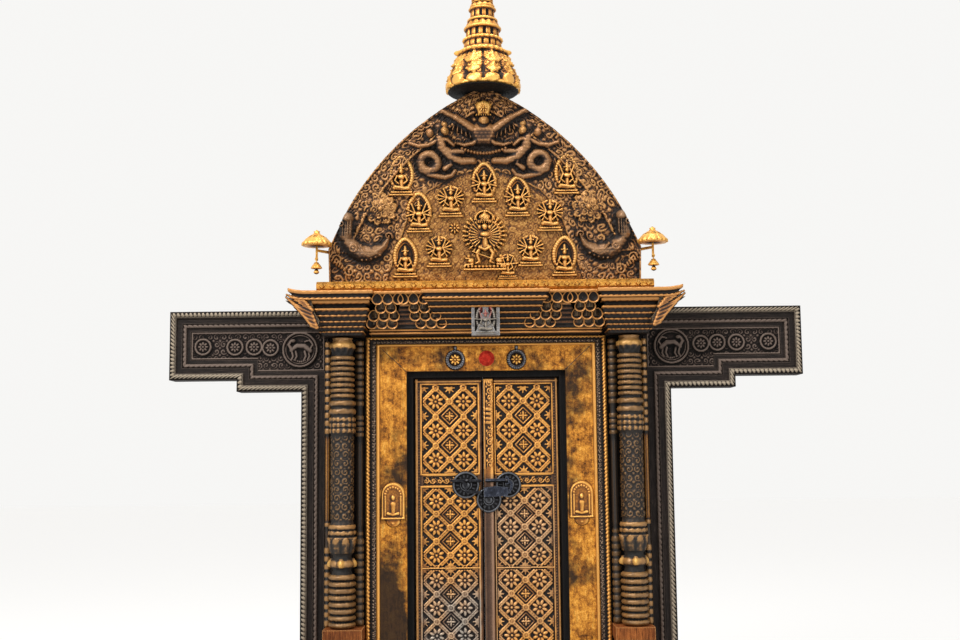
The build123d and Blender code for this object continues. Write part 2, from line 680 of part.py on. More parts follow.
# Foliage rim: a raised band with a scroll boss at each turn
with BuildPart() as rim:
    with BuildSketch(FACE):
        add(torana_outline())
        add(torana_outline(RIM_WIDE), mode=Mode.SUBTRACT)
        with Locations((0, -20)):
            Rectangle(2 * TORANA_HALF, 2 * 200, mode=Mode.SUBTRACT)
    extrude(amount=RIM_DEEP)
    for side in (-1, 1):
        for i in range(6):
            share = (i + 0.6) / 6
            x = side * (628 - 620 * share)
            w = 330 + 560 * math.sin(share * math.pi / 2 * 0.96)
            stud(x, w - 30, 30, 12, base=RIM_DEEP, sides=6, top=0.6)
    for piece in (bird_man, serpents, makara, flower_bosses, plaques):
        add(piece.part, mode=Mode.SUBTRACT)
    add(makara.part.mirror(Plane.YZ), mode=Mode.SUBTRACT)
save(rim, "torana_rim")

# Gilt finial over the tip: a foliage skirt and a tiered spire
FINIAL_Y = TORANA_Y - TORANA_TOP * math.sin(LEAN) + 8
SKIRT_BOTTOM = 3146.0
SKIRT_TOP = 3330.0
with BuildPart() as skirt:
    turned(0, FINIAL_Y, [(SKIRT_BOTTOM, 166), (3170, 172), (3215, 158), (3258, 140), (3300, 112),
                         (SKIRT_TOP, 96)], sides=8)
    for i in range(8):
        turn = math.radians(45 * i)
        outward = (math.cos(turn), math.sin(turn), 0)
        across = (math.sin(turn), -math.cos(turn), 0)
        with BuildSketch(Plane((0, FINIAL_Y, 0), x_dir=outward, z_dir=across).offset(-7)):
            Polygon((130, SKIRT_BOTTOM + 10), (184, SKIRT_BOTTOM), (170, 3196), (148, 3216),
                    (160, 3240), (132, 3280), (96, 3300), align=None)
        extrude(amount=14)
    with BuildSketch(FACE.offset(RIM_DEEP + 1)):
        add(torana_outline(-PANEL_CLEAR))
    extrude(amount=-(TORANA_THICK + RIM_DEEP + 2), mode=Mode.SUBTRACT)
save(skirt, "finial_skirt")

with BuildPart() as spire:
    profile = [(SKIRT_TOP, 88), (3336, 106), (3348, 106), (3356, 92), (3388, 90), (3394, 98),
               (3406, 98), (3412, 84), (3452, 82), (3458, 92), (3466, 90), (3490, 66), (3496, 74),
               (3508, 74), (3514, 60), (3550, 58), (3556, 68), (3562, 66), (3582, 48), (3590, 52),
               (3612, 48), (3622, 34), (3640, 30), (3650, 38), (3664, 30), (3676, 18), (3700, 10),
               (3716, 3)]
    turned(0, FINIAL_Y, profile, sides=8)
save(spire, "finial_spire")


# Parasols that hang at the lower corners of the tympanum, each with a swinging pendant
PIN_R = 3.0
PIN_FIT = 0.05
PIN_LONG = 12.0
px, py = -PARASOL_X, PARASOL_Y
with BuildPart() as hollow:
    turned(px, py, [(PARASOL_RIM - 9, PARASOL_R - 5), (PARASOL_RIM + 5, PARASOL_R - 7),
                    (PARASOL_RIM + 30, PARASOL_R * 0.66 - 7), (PARASOL_PEAK - 16, 12)], sides=8)
with BuildPart() as parasol:
    turned(px, py, [(PARASOL_RIM - 8, PARASOL_R), (PARASOL_RIM + 6, PARASOL_R - 2),
                    (PARASOL_RIM + 34, PARASOL_R * 0.66), (PARASOL_PEAK - 8, 14),
                    (PARASOL_PEAK, 12), (PARASOL_PEAK + 10, 4)], sides=8)
    add(hollow.part, mode=Mode.SUBTRACT)
    block(px - 5, px + 5, py - 5, py + 5, STEM_FOOT, PARASOL_PEAK - 6)
    block(px - 6, px + 6, py - 6, py + 6, STEM_FOOT - 8, STEM_FOOT + 6)
    with Locations(Plane.XZ.offset(6 - py)):
        with Locations((px, STEM_FOOT - 1)):
            Cylinder(PIN_R, PIN_LONG, align=(Align.CENTER, Align.CENTER, Align.MIN))
    bosses([(px, STEM_FOOT - 1)], PIN_R + 2.5, py - 6 - PIN_LONG, 2, sides=6, top=0.8)
    arm_y = TORANA_Y - 150 * math.tan(LEAN) * math.cos(LEAN)
    with BuildSketch(Plane.XY.offset(2386)):
        Polygon((-758, arm_y + 6), (-740, arm_y + 6), (px + 3, py - 3), (px - 3, py + 3),
                align=None)
    extrude(amount=12)
    add(board.part, mode=Mode.SUBTRACT)
save_pair(parasol, "parasol")

with BuildPart() as pendant:
    with BuildSketch(Plane.XZ.offset(7.5 - py)):
        with Locations((px, STEM_FOOT - 1)):
            RegularPolygon(PIN_R + 5, 8)
        with Locations((px, STEM_FOOT - 12)):
            Rectangle(5, 16)
        with Locations((px, STEM_FOOT - 1)):
            Circle(PIN_R + PIN_FIT, mode=Mode.SUBTRACT)
    extrude(amount=6)
    turned(px, py - 10.5, [(STEM_FOOT - 48, 27), (STEM_FOOT - 42, 26), (STEM_FOOT - 30, 16),
                           (STEM_FOOT - 18, 9)], sides=7)
    slab([(px, STEM_FOOT - 76), (px + 12, STEM_FOOT - 64), (px + 5, STEM_FOOT - 47),
          (px - 5, STEM_FOOT - 47), (px - 12, STEM_FOOT - 64)], py - 12.5, py - 8.5)
save_pair(pendant, "pendant")


# Door leaves
def leaf_board(side, free_edge):
    """Plank leaf: rounded at its pivot edge, with a round pintle at head and foot."""
    with BuildPart() as leaf:
        with BuildSketch(Plane.XY.offset(LEAF_BOTTOM)):
            reach = abs(side * PIVOT_X - free_edge)
            with Locations((side * PIVOT_X - side * reach / 2, pivot_y)):
                Rectangle(reach, LEAF_THICK)
            with Locations((side * PIVOT_X, pivot_y)):
                Circle(LEAF_THICK / 2)
        extrude(amount=LEAF_TOP - LEAF_BOTTOM)
        for z0, z1 in ((SILL_HEIGHT - PIVOT_TALL + PANEL_CLEAR, LEAF_BOTTOM),
                       (LEAF_TOP, REBATE_TOP + PIVOT_TALL - 4)):
            with BuildSketch(Plane.XY.offset(z0)):
                with Locations((side * PIVOT_X, pivot_y)):
                    Circle(PIVOT_R)
            extrude(amount=z1 - z0)
    return leaf


LEFT_EDGE = MEETING_X - MEETING_GAP
RIGHT_EDGE = MEETING_X + MEETING_GAP
left_board = leaf_board(-1, LEFT_EDGE)
save(left_board, "leaf_board_left")
right_board = leaf_board(1, RIGHT_EDGE)
save(right_board, "leaf_board_right")


def leaf_border(side, free_edge):
    """Raised rails and stiles round the rosette panels, with bands between the panels."""
    with BuildPart() as border:
        x_in = side * PANEL_X0
        x_out = side * RELIEF_EDGE
        low, high = min(free_edge, x_out), max(free_edge, x_out)
        with BuildSketch(facing(LEAF_FRONT)):
            with Locations(((low + high) / 2, (RELIEF_BOTTOM + RELIEF_TOP) / 2)):
                Rectangle(high - low, RELIEF_TOP - RELIEF_BOTTOM)
            for z0, z1, _ in PANEL_ROWS:
                with Locations(((x_in + side * PANEL_X1) / 2, (z0 + z1) / 2)):
                    Rectangle(PANEL_X1 - PANEL_X0, z1 - z0, mode=Mode.SUBTRACT)
            if side > 0:
                with Locations(((COVER_X1 + RIGHT_EDGE) / 2, SILL_HEIGHT)):
                    Rectangle(COVER_X1 - RIGHT_EDGE + 2 * PANEL_CLEAR, 4000, mode=Mode.SUBTRACT)
        extrude(amount=RELIEF_DEEP)
        for x in (side * (PANEL_X1 + 5), side * (RELIEF_EDGE - 5)):
            block(x - 3, x + 3, LEAF_FRONT - RELIEF_DEEP - 4, LEAF_FRONT - RELIEF_DEEP,
                  RELIEF_BOTTOM, RELIEF_TOP)
    return border


left_border = leaf_border(-1, LEFT_EDGE)
save(left_border, "leaf_border_left")
right_border = leaf_border(1, RIGHT_EDGE)
save(right_border, "leaf_border_right")


# Rosette panels: a thin ground, an eight-sided plate with a flower on it at each place, and a
# diamond between each four
GROUND = 3.0
PLATE_DEEP = 4.0
FLOWER_DEEP = 5.0
DIAMOND_R = 24.0


def rosette_panels():
    with BuildPart() as panels:
        for z0, z1, rows in PANEL_ROWS:
            spots = [(-x, z) for z in rows for x in ROSETTE_X]
            with BuildSketch(facing(LEAF_FRONT)):
                with Locations((-(PANEL_X0 + PANEL_X1) / 2, (z0 + z1) / 2)):
                    Rectangle(PANEL_X1 - PANEL_X0 - 2 * PANEL_CLEAR, z1 - z0 - 2 * PANEL_CLEAR)
            extrude(amount=GROUND)
            diamonds = [(-sum(ROSETTE_X) / 2, (z + above) / 2) for z, above in zip(rows, rows[1:])]
            with BuildSketch(facing(LEAF_FRONT - GROUND)):
                with Locations(*spots):
                    RegularPolygon(RING_R, 8, rotation=22.5)
                with Locations(*diamonds):
                    RegularPolygon(DIAMOND_R, 4)
            extrude(amount=PLATE_DEEP)
            bosses(spots, ROSETTE_R, LEAF_FRONT - GROUND - PLATE_DEEP, FLOWER_DEEP, sides=6, top=0.35)
    return panels


save_pair(rosette_panels(), "rosette_panels")

# Cover strip on the right leaf, flush with the line where the leaves meet
COVER_FRONT = 36.0
KNOT_Z = 1585.0
with BuildPart() as cover_strip:
    x0 = RIGHT_EDGE + PANEL_CLEAR
    x1 = COVER_X1
    third = (x1 - x0) / 3
    with BuildSketch(Plane.XY.offset(RELIEF_BOTTOM)):
        Polygon((x0, LEAF_FRONT), (x1, LEAF_FRONT), (x1, COVER_FRONT + 10),
                (x1 - third * 0.7, COVER_FRONT), (x0 + third * 0.7, COVER_FRONT),
                (x0, COVER_FRONT + 10), align=None)
    extrude(amount=RELIEF_TOP - RELIEF_BOTTOM)
    slab([(x0 + 8, KNOT_Z - 32), (x1 - 8, KNOT_Z - 32), (x1 - 4, KNOT_Z), (x1 - 8, KNOT_Z + 32),
          (x0 + 8, KNOT_Z + 32), (x0 + 4, KNOT_Z)], COVER_FRONT - 6, COVER_FRONT)
save(cover_strip, "cover_strip")

# Lock: a round plate with a ring staple on each leaf, the case on the right leaf's ring and
# the bolt on the left leaf's ring, as they come apart when it is unlocked
PLATE_BACK = LEAF_FRONT - RELIEF_DEEP - 4.0
PLATE_FRONT = PLATE_BACK - 8.0


def lock_plate(x, radius):
    with BuildPart() as plate:
        with BuildSketch(facing(PLATE_BACK)):
            with Locations((x, LOCK_Z)):
                RegularPolygon(radius, 14)
            with Locations((0, LOCK_Z)):
                Rectangle(2 * (COVER_X1 + PANEL_CLEAR), 400, mode=Mode.SUBTRACT)
        extrude(amount=PLATE_BACK - PLATE_FRONT)
        with BuildSketch(facing(PLATE_BACK)):
            with Locations((x, LOCK_Z)):
                RegularPolygon(26, 8)
        extrude(amount=PLATE_BACK - LEAF_FRONT + RELIEF_DEEP)
        bosses([(x, LOCK_Z)], radius * 0.55, PLATE_FRONT, 6, sides=8, top=0.5)
    return plate


left_plate = lock_plate(-PLATE_X, PLATE_R)
save(left_plate, "lock_plate_left")
right_plate = lock_plate(PLATE_X, PLATE_R - 6)

LOCK_FRONT = 4.0
BOLT_END = MEETING_X - 9.0
with BuildPart() as lock_bolt:
    block(-182, BOLT_END, LOCK_FRONT + 8, LOCK_FRONT + 20, LOCK_Z + 18, LOCK_Z + 28)
    block(-118, -104, LOCK_FRONT + 20, PLATE_FRONT - 6, LOCK_Z + 14, LOCK_Z + 32)
    slab([(-124, LOCK_Z + 18), (-108, LOCK_Z + 18), (-100, LOCK_Z - 26), (BOLT_END, LOCK_Z - 30),
          (BOLT_END, LOCK_Z - 42), (-104, LOCK_Z - 40)], LOCK_FRONT + 8, LOCK_FRONT + 20)
save(lock_bolt, "lock_bolt")

CASE_X0 = MEETING_X + MEETING_GAP + 1.0
with BuildPart() as lock_case:
    slab([(CASE_X0, LOCK_Z - 58), (102, LOCK_Z - 54), (104, LOCK_Z - 14), (40, LOCK_Z - 6),
          (CASE_X0, LOCK_Z - 14)], LOCK_FRONT, LOCK_FRONT + 28)
    block(CASE_X0 + 8, 96, LOCK_FRONT + 8, LOCK_FRONT + 20, LOCK_Z + 20, LOCK_Z + 30)
    block(92, 106, LOCK_FRONT + 4, PLATE_FRONT - 6, LOCK_Z + 4, LOCK_Z + 40)
    slab([(106, LOCK_Z + 30), (126, LOCK_Z + 10), (126, LOCK_Z - 20), (108, LOCK_Z - 44),
          (102, LOCK_Z - 40), (114, LOCK_Z - 16), (114, LOCK_Z + 6), (100, LOCK_Z + 22)],
         LOCK_FRONT + 6, LOCK_FRONT + 18)
save(lock_case, "lock_case")

# The right leaf's second plate: a disc on the cover strip below the lock
with BuildPart() as right_plates:
    add(right_plate.part)
    with BuildSketch(facing(COVER_FRONT)):
        with Locations((8, 1176)):
            RegularPolygon(66, 14)
        with Locations((RIGHT_EDGE + PANEL_CLEAR - 100, 1176)):
            Rectangle(200, 400, mode=Mode.SUBTRACT)
    extrude(amount=4)
save(right_plates, "lock_plates_right")
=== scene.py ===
"""Looks of the carved temple door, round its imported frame. Millimetres until a mesh is made."""
import bpy
import math
import numpy as np
from mathutils import Matrix, Vector


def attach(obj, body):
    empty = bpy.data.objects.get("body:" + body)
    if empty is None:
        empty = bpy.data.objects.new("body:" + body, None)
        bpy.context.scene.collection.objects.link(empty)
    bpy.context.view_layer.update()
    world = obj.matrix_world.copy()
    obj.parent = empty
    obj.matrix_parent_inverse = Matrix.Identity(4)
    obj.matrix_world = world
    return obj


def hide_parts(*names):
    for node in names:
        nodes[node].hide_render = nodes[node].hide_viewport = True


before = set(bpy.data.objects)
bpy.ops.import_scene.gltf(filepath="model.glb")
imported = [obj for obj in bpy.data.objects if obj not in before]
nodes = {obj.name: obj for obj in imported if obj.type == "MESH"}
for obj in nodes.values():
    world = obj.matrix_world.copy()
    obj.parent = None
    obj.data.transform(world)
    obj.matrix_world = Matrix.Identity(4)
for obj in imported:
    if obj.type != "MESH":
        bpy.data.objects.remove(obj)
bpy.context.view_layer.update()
scene = bpy.context.scene

SIDES = ((-1, "left"), (1, "right"))
FULL = 2 * math.pi
FAR = 1e9          # Beyond every measure of the part
SUNK = -6.0        # Ground of a canvas that is cut out round what is drawn on it


def add_object(name, data):
    obj = bpy.data.objects.new(name, data)
    scene.collection.objects.link(obj)
    return obj


def polar(u, w, r, angle):
    """The point at distance r and an angle from (u, w)."""
    return u + r * math.cos(angle), w + r * math.sin(angle)


# Camera at the photograph's viewing angle
CAMERA_PLACE = (-0.027, -6.0, 1.4)
CAMERA_TILT, CAMERA_ROLL = 96.4, -0.6
FOCAL_LENGTH, SENSOR_WIDTH = 45, 36
lens = bpy.data.cameras.new("camera")
lens.lens = FOCAL_LENGTH
lens.sensor_width = SENSOR_WIDTH
lens.sensor_fit = "HORIZONTAL"
camera = add_object("camera", lens)
camera.matrix_world = (Matrix.Translation(CAMERA_PLACE)
                       @ Matrix.Rotation(math.radians(CAMERA_TILT), 4, "X")
                       @ Matrix.Rotation(math.radians(CAMERA_ROLL), 4, "Z"))
scene.camera = camera
scene.view_settings.view_transform = "Standard"


# Meshes from grids of points
def as_mesh(name, points, faces, values):
    """A smooth mesh of quads, in metres, with one named value a point for each of values."""
    mesh = bpy.data.meshes.new(name)
    mesh.vertices.add(len(points))
    mesh.vertices.foreach_set("co", (points * 0.001).astype(np.float32).ravel())
    count = len(faces)
    mesh.loops.add(count * 4)
    mesh.loops.foreach_set("vertex_index", faces.astype(np.int32).ravel())
    mesh.polygons.add(count)
    mesh.polygons.foreach_set("loop_start", np.arange(0, count * 4, 4, dtype=np.int32))
    mesh.polygons.foreach_set("use_smooth", np.full(count, True))
    mesh.update(calc_edges=True)
    for key, value in values.items():
        layer = mesh.attributes.new(key, "FLOAT", "POINT")
        layer.data.foreach_set("value", value.astype(np.float32).ravel())
    return mesh


def grid_faces(rows, cols, keep=None, closed=False):
    """Quads of a grid: those that keep names, and one more column where it closes on itself."""
    last = cols if closed else cols - 1
    r, c = np.meshgrid(np.arange(rows - 1), np.arange(last), indexing="ij")
    c1 = (c + 1) % cols
    a, b, d, e = r * cols + c, r * cols + c1, (r + 1) * cols + c1, (r + 1) * cols + c
    quads = np.stack((a, b, d, e), axis=-1)
    if keep is not None:
        quads = quads[keep]
    return quads.reshape(-1, 4)


FACING = {"front": (0, -1, 0), "back": (0, 1, 0), "up": (0, 0, 1), "down": (0, 0, -1)}


def sheet_data(points, values, keep=None, closed=False, way=None):
    """Vertices, quads and values of one grid, with its faces turned the given way or outwards."""
    rows, cols = points.shape[:2]
    faces = grid_faces(rows, cols, keep, closed)
    flat = points.reshape(-1, 3)
    corner = flat[faces]
    normal = np.cross(corner[:, 2] - corner[:, 0], corner[:, 3] - corner[:, 1])
    way = way or ("out" if closed else "front")
    if way in FACING:
        score = (normal * FACING[way]).sum()
    else:
        middle = corner.mean(axis=1)
        score = (normal * (middle - middle.mean(axis=0))).sum()
    if score < 0:
        faces = faces[:, ::-1]
    used = np.zeros(len(flat), bool)
    used[faces.ravel()] = True
    order = np.cumsum(used) - 1
    return flat[used], order[faces], {k: v.reshape(-1)[used] for k, v in values.items()}


def piece_of(name, parts, body, material, replaces=()):
    """One object from several grids, riding on a body."""
    base, quads = 0, []
    for flat, faces, _ in parts:
        quads.append(faces + base)
        base += len(flat)
    values = {key: np.concatenate([own[key] for _, _, own in parts]) for key in parts[0][2]}
    mesh = as_mesh(name, np.concatenate([flat for flat, _, _ in parts]), np.concatenate(quads),
                   values)
    mesh.materials.append(material)
    piece = add_object(name, mesh)
    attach(piece, body)
    if replaces:
        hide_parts(*replaces)
    return piece


def grid_piece(name, points, values, body, material, replaces=(), keep=None, closed=False):
    parts = [sheet_data(points, values, keep, closed)]
    return piece_of(name, parts, body, material, replaces)


def rings(levels, around):
    """Grids of level and turn for a form that closes round an axis."""
    return np.meshgrid(levels, np.linspace(0, FULL, around + 1)[:-1], indexing="ij")


def blur(values, size, wrap=False):
    """Box blur along both axes, twice."""
    out = values
    for _ in range(2):
        for axis in (0, 1):
            pad = [(0, 0), (0, 0)]
            pad[axis] = (size, size)
            mode = "wrap" if wrap and axis == 1 else "edge"
            wide = np.pad(out, pad, mode=mode)
            total = np.cumsum(wide, axis=axis)
            lead = np.take(total, range(2 * size, wide.shape[axis]), axis=axis)
            lag = np.take(total, range(0, wide.shape[axis] - 2 * size), axis=axis)
            out = (lead - lag) / (2 * size)
    return out


def ridge_of(height, size=4, gain=6.0, wrap=False):
    """0 in recesses, 0.5 on plain faces, 1 on crests."""
    return np.clip(0.5 + (height - blur(height, size, wrap)) / gain, 0, 1)


def carving(name, x, front, H, z, ridge, body, material, replaces=(), keep=None, tint=None):
    """A relief of the heights H over an upright face; ridge is ridge_of's size and gain."""
    values = {"ridge": ridge_of(H, *ridge), "tint": np.zeros_like(H) if tint is None else tint}
    return grid_piece(name, np.stack((x, front - H, z), axis=-1), values, body, material,
                      replaces, keep=keep)


def to_segment(U, W, start, end):
    """Share along a segment of each point's nearest place on it, and the distance to it."""
    (au, aw), (bu, bw) = start, end
    t = np.clip(((U - au) * (bu - au) + (W - aw) * (bw - aw))
                / ((bu - au) ** 2 + (bw - aw) ** 2 + 1e-9), 0, 1)
    return t, np.hypot(U - au - t * (bu - au), W - aw - t * (bw - aw))


class Canvas:
    """A height map in millimetres over (u, w), on which ornament is raised."""

    def __init__(self, u0, u1, w0, w1, step, half=None):
        cols = int(round((u1 - u0) / step)) + 1
        rows = int(round((w1 - w0) / step)) + 1
        self.w = np.linspace(w0, w1, rows)
        u = np.linspace(u0, u1, cols)
        self.U, self.W = np.meshgrid(u, self.w)
        if half is not None:
            self.U = self.U / max(abs(u0), abs(u1)) * half(self.w)[:, None]
        self.H = np.zeros_like(self.U)
        self.T = np.zeros_like(self.U)
        self.tint = None               # Tint of what is drawn next
        self.sign = 1                  # -1 draws it mirrored
        self.at = (0.0, 0.0, 1.0)      # Place and size of its own drawing

    def spot(self, u, w):
        """A point of the current figure's own drawing, placed on the canvas."""
        ou, ow, size = self.at
        return self.sign * (ou + u * size), ow + w * size

    def cut_out(self, ground=0.0):
        """Heights over a plain ground, and the faces that touch what was drawn on a sunk one."""
        drawn = self.H > SUNK + 1
        keep = drawn[:-1, :-1] | drawn[1:, :-1] | drawn[:-1, 1:] | drawn[1:, 1:]
        return np.where(drawn, self.H, ground), keep

    def near(self, u0, u1, w0, w1):
        """The slice of the canvas round a box, or None outside it."""
        r0, r1 = np.searchsorted(self.w, (w0, w1))
        if r1 <= r0:
            return None
        r1 = min(r1 + 1, len(self.w))
        inside = ((self.U[r0:r1] >= u0) & (self.U[r0:r1] <= u1)).any(axis=0)
        cols = np.flatnonzero(inside)
        if not len(cols):
            return None
        return np.s_[r0:r1, cols[0]:cols[-1] + 1]

    def lift(self, area, height):
        """Raises the canvas to height where that is higher, and tints what it raises."""
        part = self.H[area]
        higher = height > part
        part[higher] = height[higher]
        if self.tint is not None:
            self.T[area][higher] = self.tint

    def dome(self, u, w, ru, top, rw=None, base=0.0, turn=0.0, power=0.5):
        size = self.at[2]
        rw = ru if rw is None else rw
        ru, rw = ru * size, rw * size
        u, w = self.spot(u, w)
        reach = max(ru, rw)
        area = self.near(u - reach, u + reach, w - reach, w + reach)
        if area is None:
            return
        du, dw = self.U[area] - u, self.W[area] - w
        turn = math.radians(turn) * self.sign
        cu, su = math.cos(turn), math.sin(turn)
        q = ((du * cu + dw * su) / ru) ** 2 + ((dw * cu - du * su) / rw) ** 2
        height = np.where(q < 1, base + (top - base) * np.clip(1 - q, 0, 1) ** power, -FAR)
        self.lift(area, height)

    def ring(self, u, w, radius, thick, top, base=0.0):
        size = self.at[2]
        radius, thick = radius * size, thick * size
        u, w = self.spot(u, w)
        reach = radius + thick
        area = self.near(u - reach, u + reach, w - reach, w + reach)
        if area is None:
            return
        away = np.abs(np.hypot(self.U[area] - u, self.W[area] - w) - radius) / thick
        height = base + (top - base) * np.sqrt(np.clip(1 - away ** 2, 0, 1))
        self.lift(area, np.where(away < 1, height, -FAR))

    def tube(self, points, r0, top, r1=None, base=0.0, sharp=0.5):
        """A rounded rib along a line, from one radius to another."""
        size = self.at[2]
        r1 = r0 if r1 is None else r1
        path = [self.spot(u, w) for u, w in points]
        count = len(path) - 1
        for i in range(count):
            (au, aw), (bu, bw) = path[i], path[i + 1]
            ra = (r0 + (r1 - r0) * i / count) * size
            rb = (r0 + (r1 - r0) * (i + 1) / count) * size
            reach = max(ra, rb)
            area = self.near(min(au, bu) - reach, max(au, bu) + reach,
                             min(aw, bw) - reach, max(aw, bw) + reach)
            if area is None:
                continue
            t, away = to_segment(self.U[area], self.W[area], path[i], path[i + 1])
            radius = ra + (rb - ra) * t
            q = away / radius
            lower = min(1.0, 0.55 + 0.45 * (radius / max(ra, rb)).mean())
            height = base + (top * lower - base) * np.clip(1 - q ** 2, 0, 1) ** sharp
            self.lift(area, np.where(q < 1, height, -FAR))

    def plate(self, points, top, bevel=3.0):
        """A raised polygon with a soft edge."""
        path = np.array([self.spot(u, w) for u, w in points])
        area = self.near(path[:, 0].min(), path[:, 0].max(), path[:, 1].min(), path[:, 1].max())
        if area is None:
            return
        U, W = self.U[area], self.W[area]
        inside = np.zeros(U.shape, bool)
        away = np.full(U.shape, FAR)
        for (au, aw), (bu, bw) in zip(path, np.roll(path, -1, axis=0)):
            away = np.minimum(away, to_segment(U, W, (au, aw), (bu, bw))[1])
            if bw != aw:
                cross = (aw > W) != (bw > W)
                inside ^= cross & (U < (bu - au) * (W - aw) / (bw - aw) + au)
        rise = np.clip(away / bevel, 0, 1) ** 0.5
        self.lift(area, np.where(inside, top * rise, -FAR))

    def flower(self, u, w, radius, top, count=8, base=0.0, turn=0.0, fat=0.36, hub=0.26):
        """Petals round a hub."""
        for i in range(count):
            angle = FULL * i / count + math.radians(turn)
            self.dome(*polar(u, w, 0.6 * radius, angle), radius * 0.42, top,
                      rw=radius * fat * 0.5, base=base, turn=math.degrees(angle))
        self.dome(u, w, radius * hub, top * 1.15, base=base)

    def spiral(self, u, w, radius, thick, top, start=0.0, turns=1.5, way=1, leaves=0):
        """A tapering scroll that winds inwards, with lobed leaves on its outer turn."""
        steps = max(8, int(14 * turns))
        points = []
        for i in range(steps + 1):
            share = i / steps
            angle = math.radians(start) + way * FULL * turns * share
            points.append(polar(u, w, radius * (1 - 0.86 * share), angle))
        self.tube(points, thick, top, r1=thick * 0.55)
        self.dome(*points[-1], thick * 1.2, top * 1.05)
        for i in range(leaves):
            angle = math.radians(start) + way * FULL * 0.9 * (i + 0.5) / leaves
            self.dome(*polar(u, w, radius * (1.12 - 0.1 * i / leaves), angle), thick * 1.5,
                      top * 0.8, rw=thick * 0.8, turn=math.degrees(angle) + way * 35)


def soft_noise(shape, cell, seed):
    """Smooth seeded noise, -1 to 1."""
    own = np.random.default_rng(seed)
    rows, cols = shape[0] // cell + 3, shape[1] // cell + 3
    coarse = own.uniform(-1, 1, (rows, cols))
    y, x = np.arange(shape[0]) / cell, np.arange(shape[1]) / cell
    y0, x0 = y.astype(int), x.astype(int)
    fy, fx = (y - y0)[:, None], (x - x0)[None, :]
    fy, fx = fy * fy * (3 - 2 * fy), fx * fx * (3 - 2 * fx)
    a, b = coarse[y0][:, x0], coarse[y0][:, x0 + 1]
    c, d = coarse[y0 + 1][:, x0], coarse[y0 + 1][:, x0 + 1]
    return (a * (1 - fx) + b * fx) * (1 - fy) + (c * (1 - fx) + d * fx) * fy


def lathe(name, x, y, profile, around, step, detail, body, material, replaces=(),
          size=3, gain=5.0, tint=None):
    """A turned form through (height, radius) pairs; detail(z, turn, r) adds carving to r."""
    zs, rs = [profile[0][0]], [profile[0][1]]
    for (z0, r0), (z1, r1) in zip(profile, profile[1:]):
        count = max(1, int(round(abs(z1 - z0) / step)))
        zs += [z0 + (z1 - z0) * (i + 1) / count for i in range(count)]
        rs += [r0 + (r1 - r0) * (i + 1) / count for i in range(count)]
    zs, r = np.array(zs), np.array(rs)
    turn = np.linspace(0, FULL, around, endpoint=False)
    Z, A = np.meshgrid(zs, turn, indexing="ij")
    R = np.repeat(r[:, None], around, axis=1)
    R = np.maximum(R + detail(Z, A, R), 0.5)
    R[0, :] = R[-1, :] = 0.5
    points = np.stack((x + R * np.cos(A), y + R * np.sin(A), Z), axis=-1)
    values = {"ridge": ridge_of(R, size, gain, wrap=True)}
    values["tint"] = np.zeros_like(R) if tint is None else tint(Z, A, R)
    return grid_piece(name, points, values, body, material, replaces, closed=True)


# Materials
class Tree:
    """A node tree under construction: each call adds nodes and most return an output."""

    def __init__(self, tree):
        self.tree = tree
        tree.nodes.clear()

    def wire(self, value, socket):
        """Links an output to the socket, or sets the socket's own value."""
        if isinstance(value, bpy.types.NodeSocket):
            self.tree.links.new(value, socket)
        elif isinstance(value, tuple) and len(value) == 3 and socket.type == "RGBA":
            socket.default_value = (*value, 1.0)
        else:
            socket.default_value = value

    def node(self, kind, values=(), **settings):
        """A new node with its settings, and with values or links on the inputs named."""
        node = self.tree.nodes.new("ShaderNode" + kind)
        for key, value in settings.items():
            setattr(node, key, value)
        for key, value in dict(values).items():
            self.wire(value, node.inputs[key])
        return node

    def sum(self, kind, a, b, clamp=False):
        return self.node("Math", {0: a, 1: b}, operation=kind, use_clamp=clamp).outputs[0]


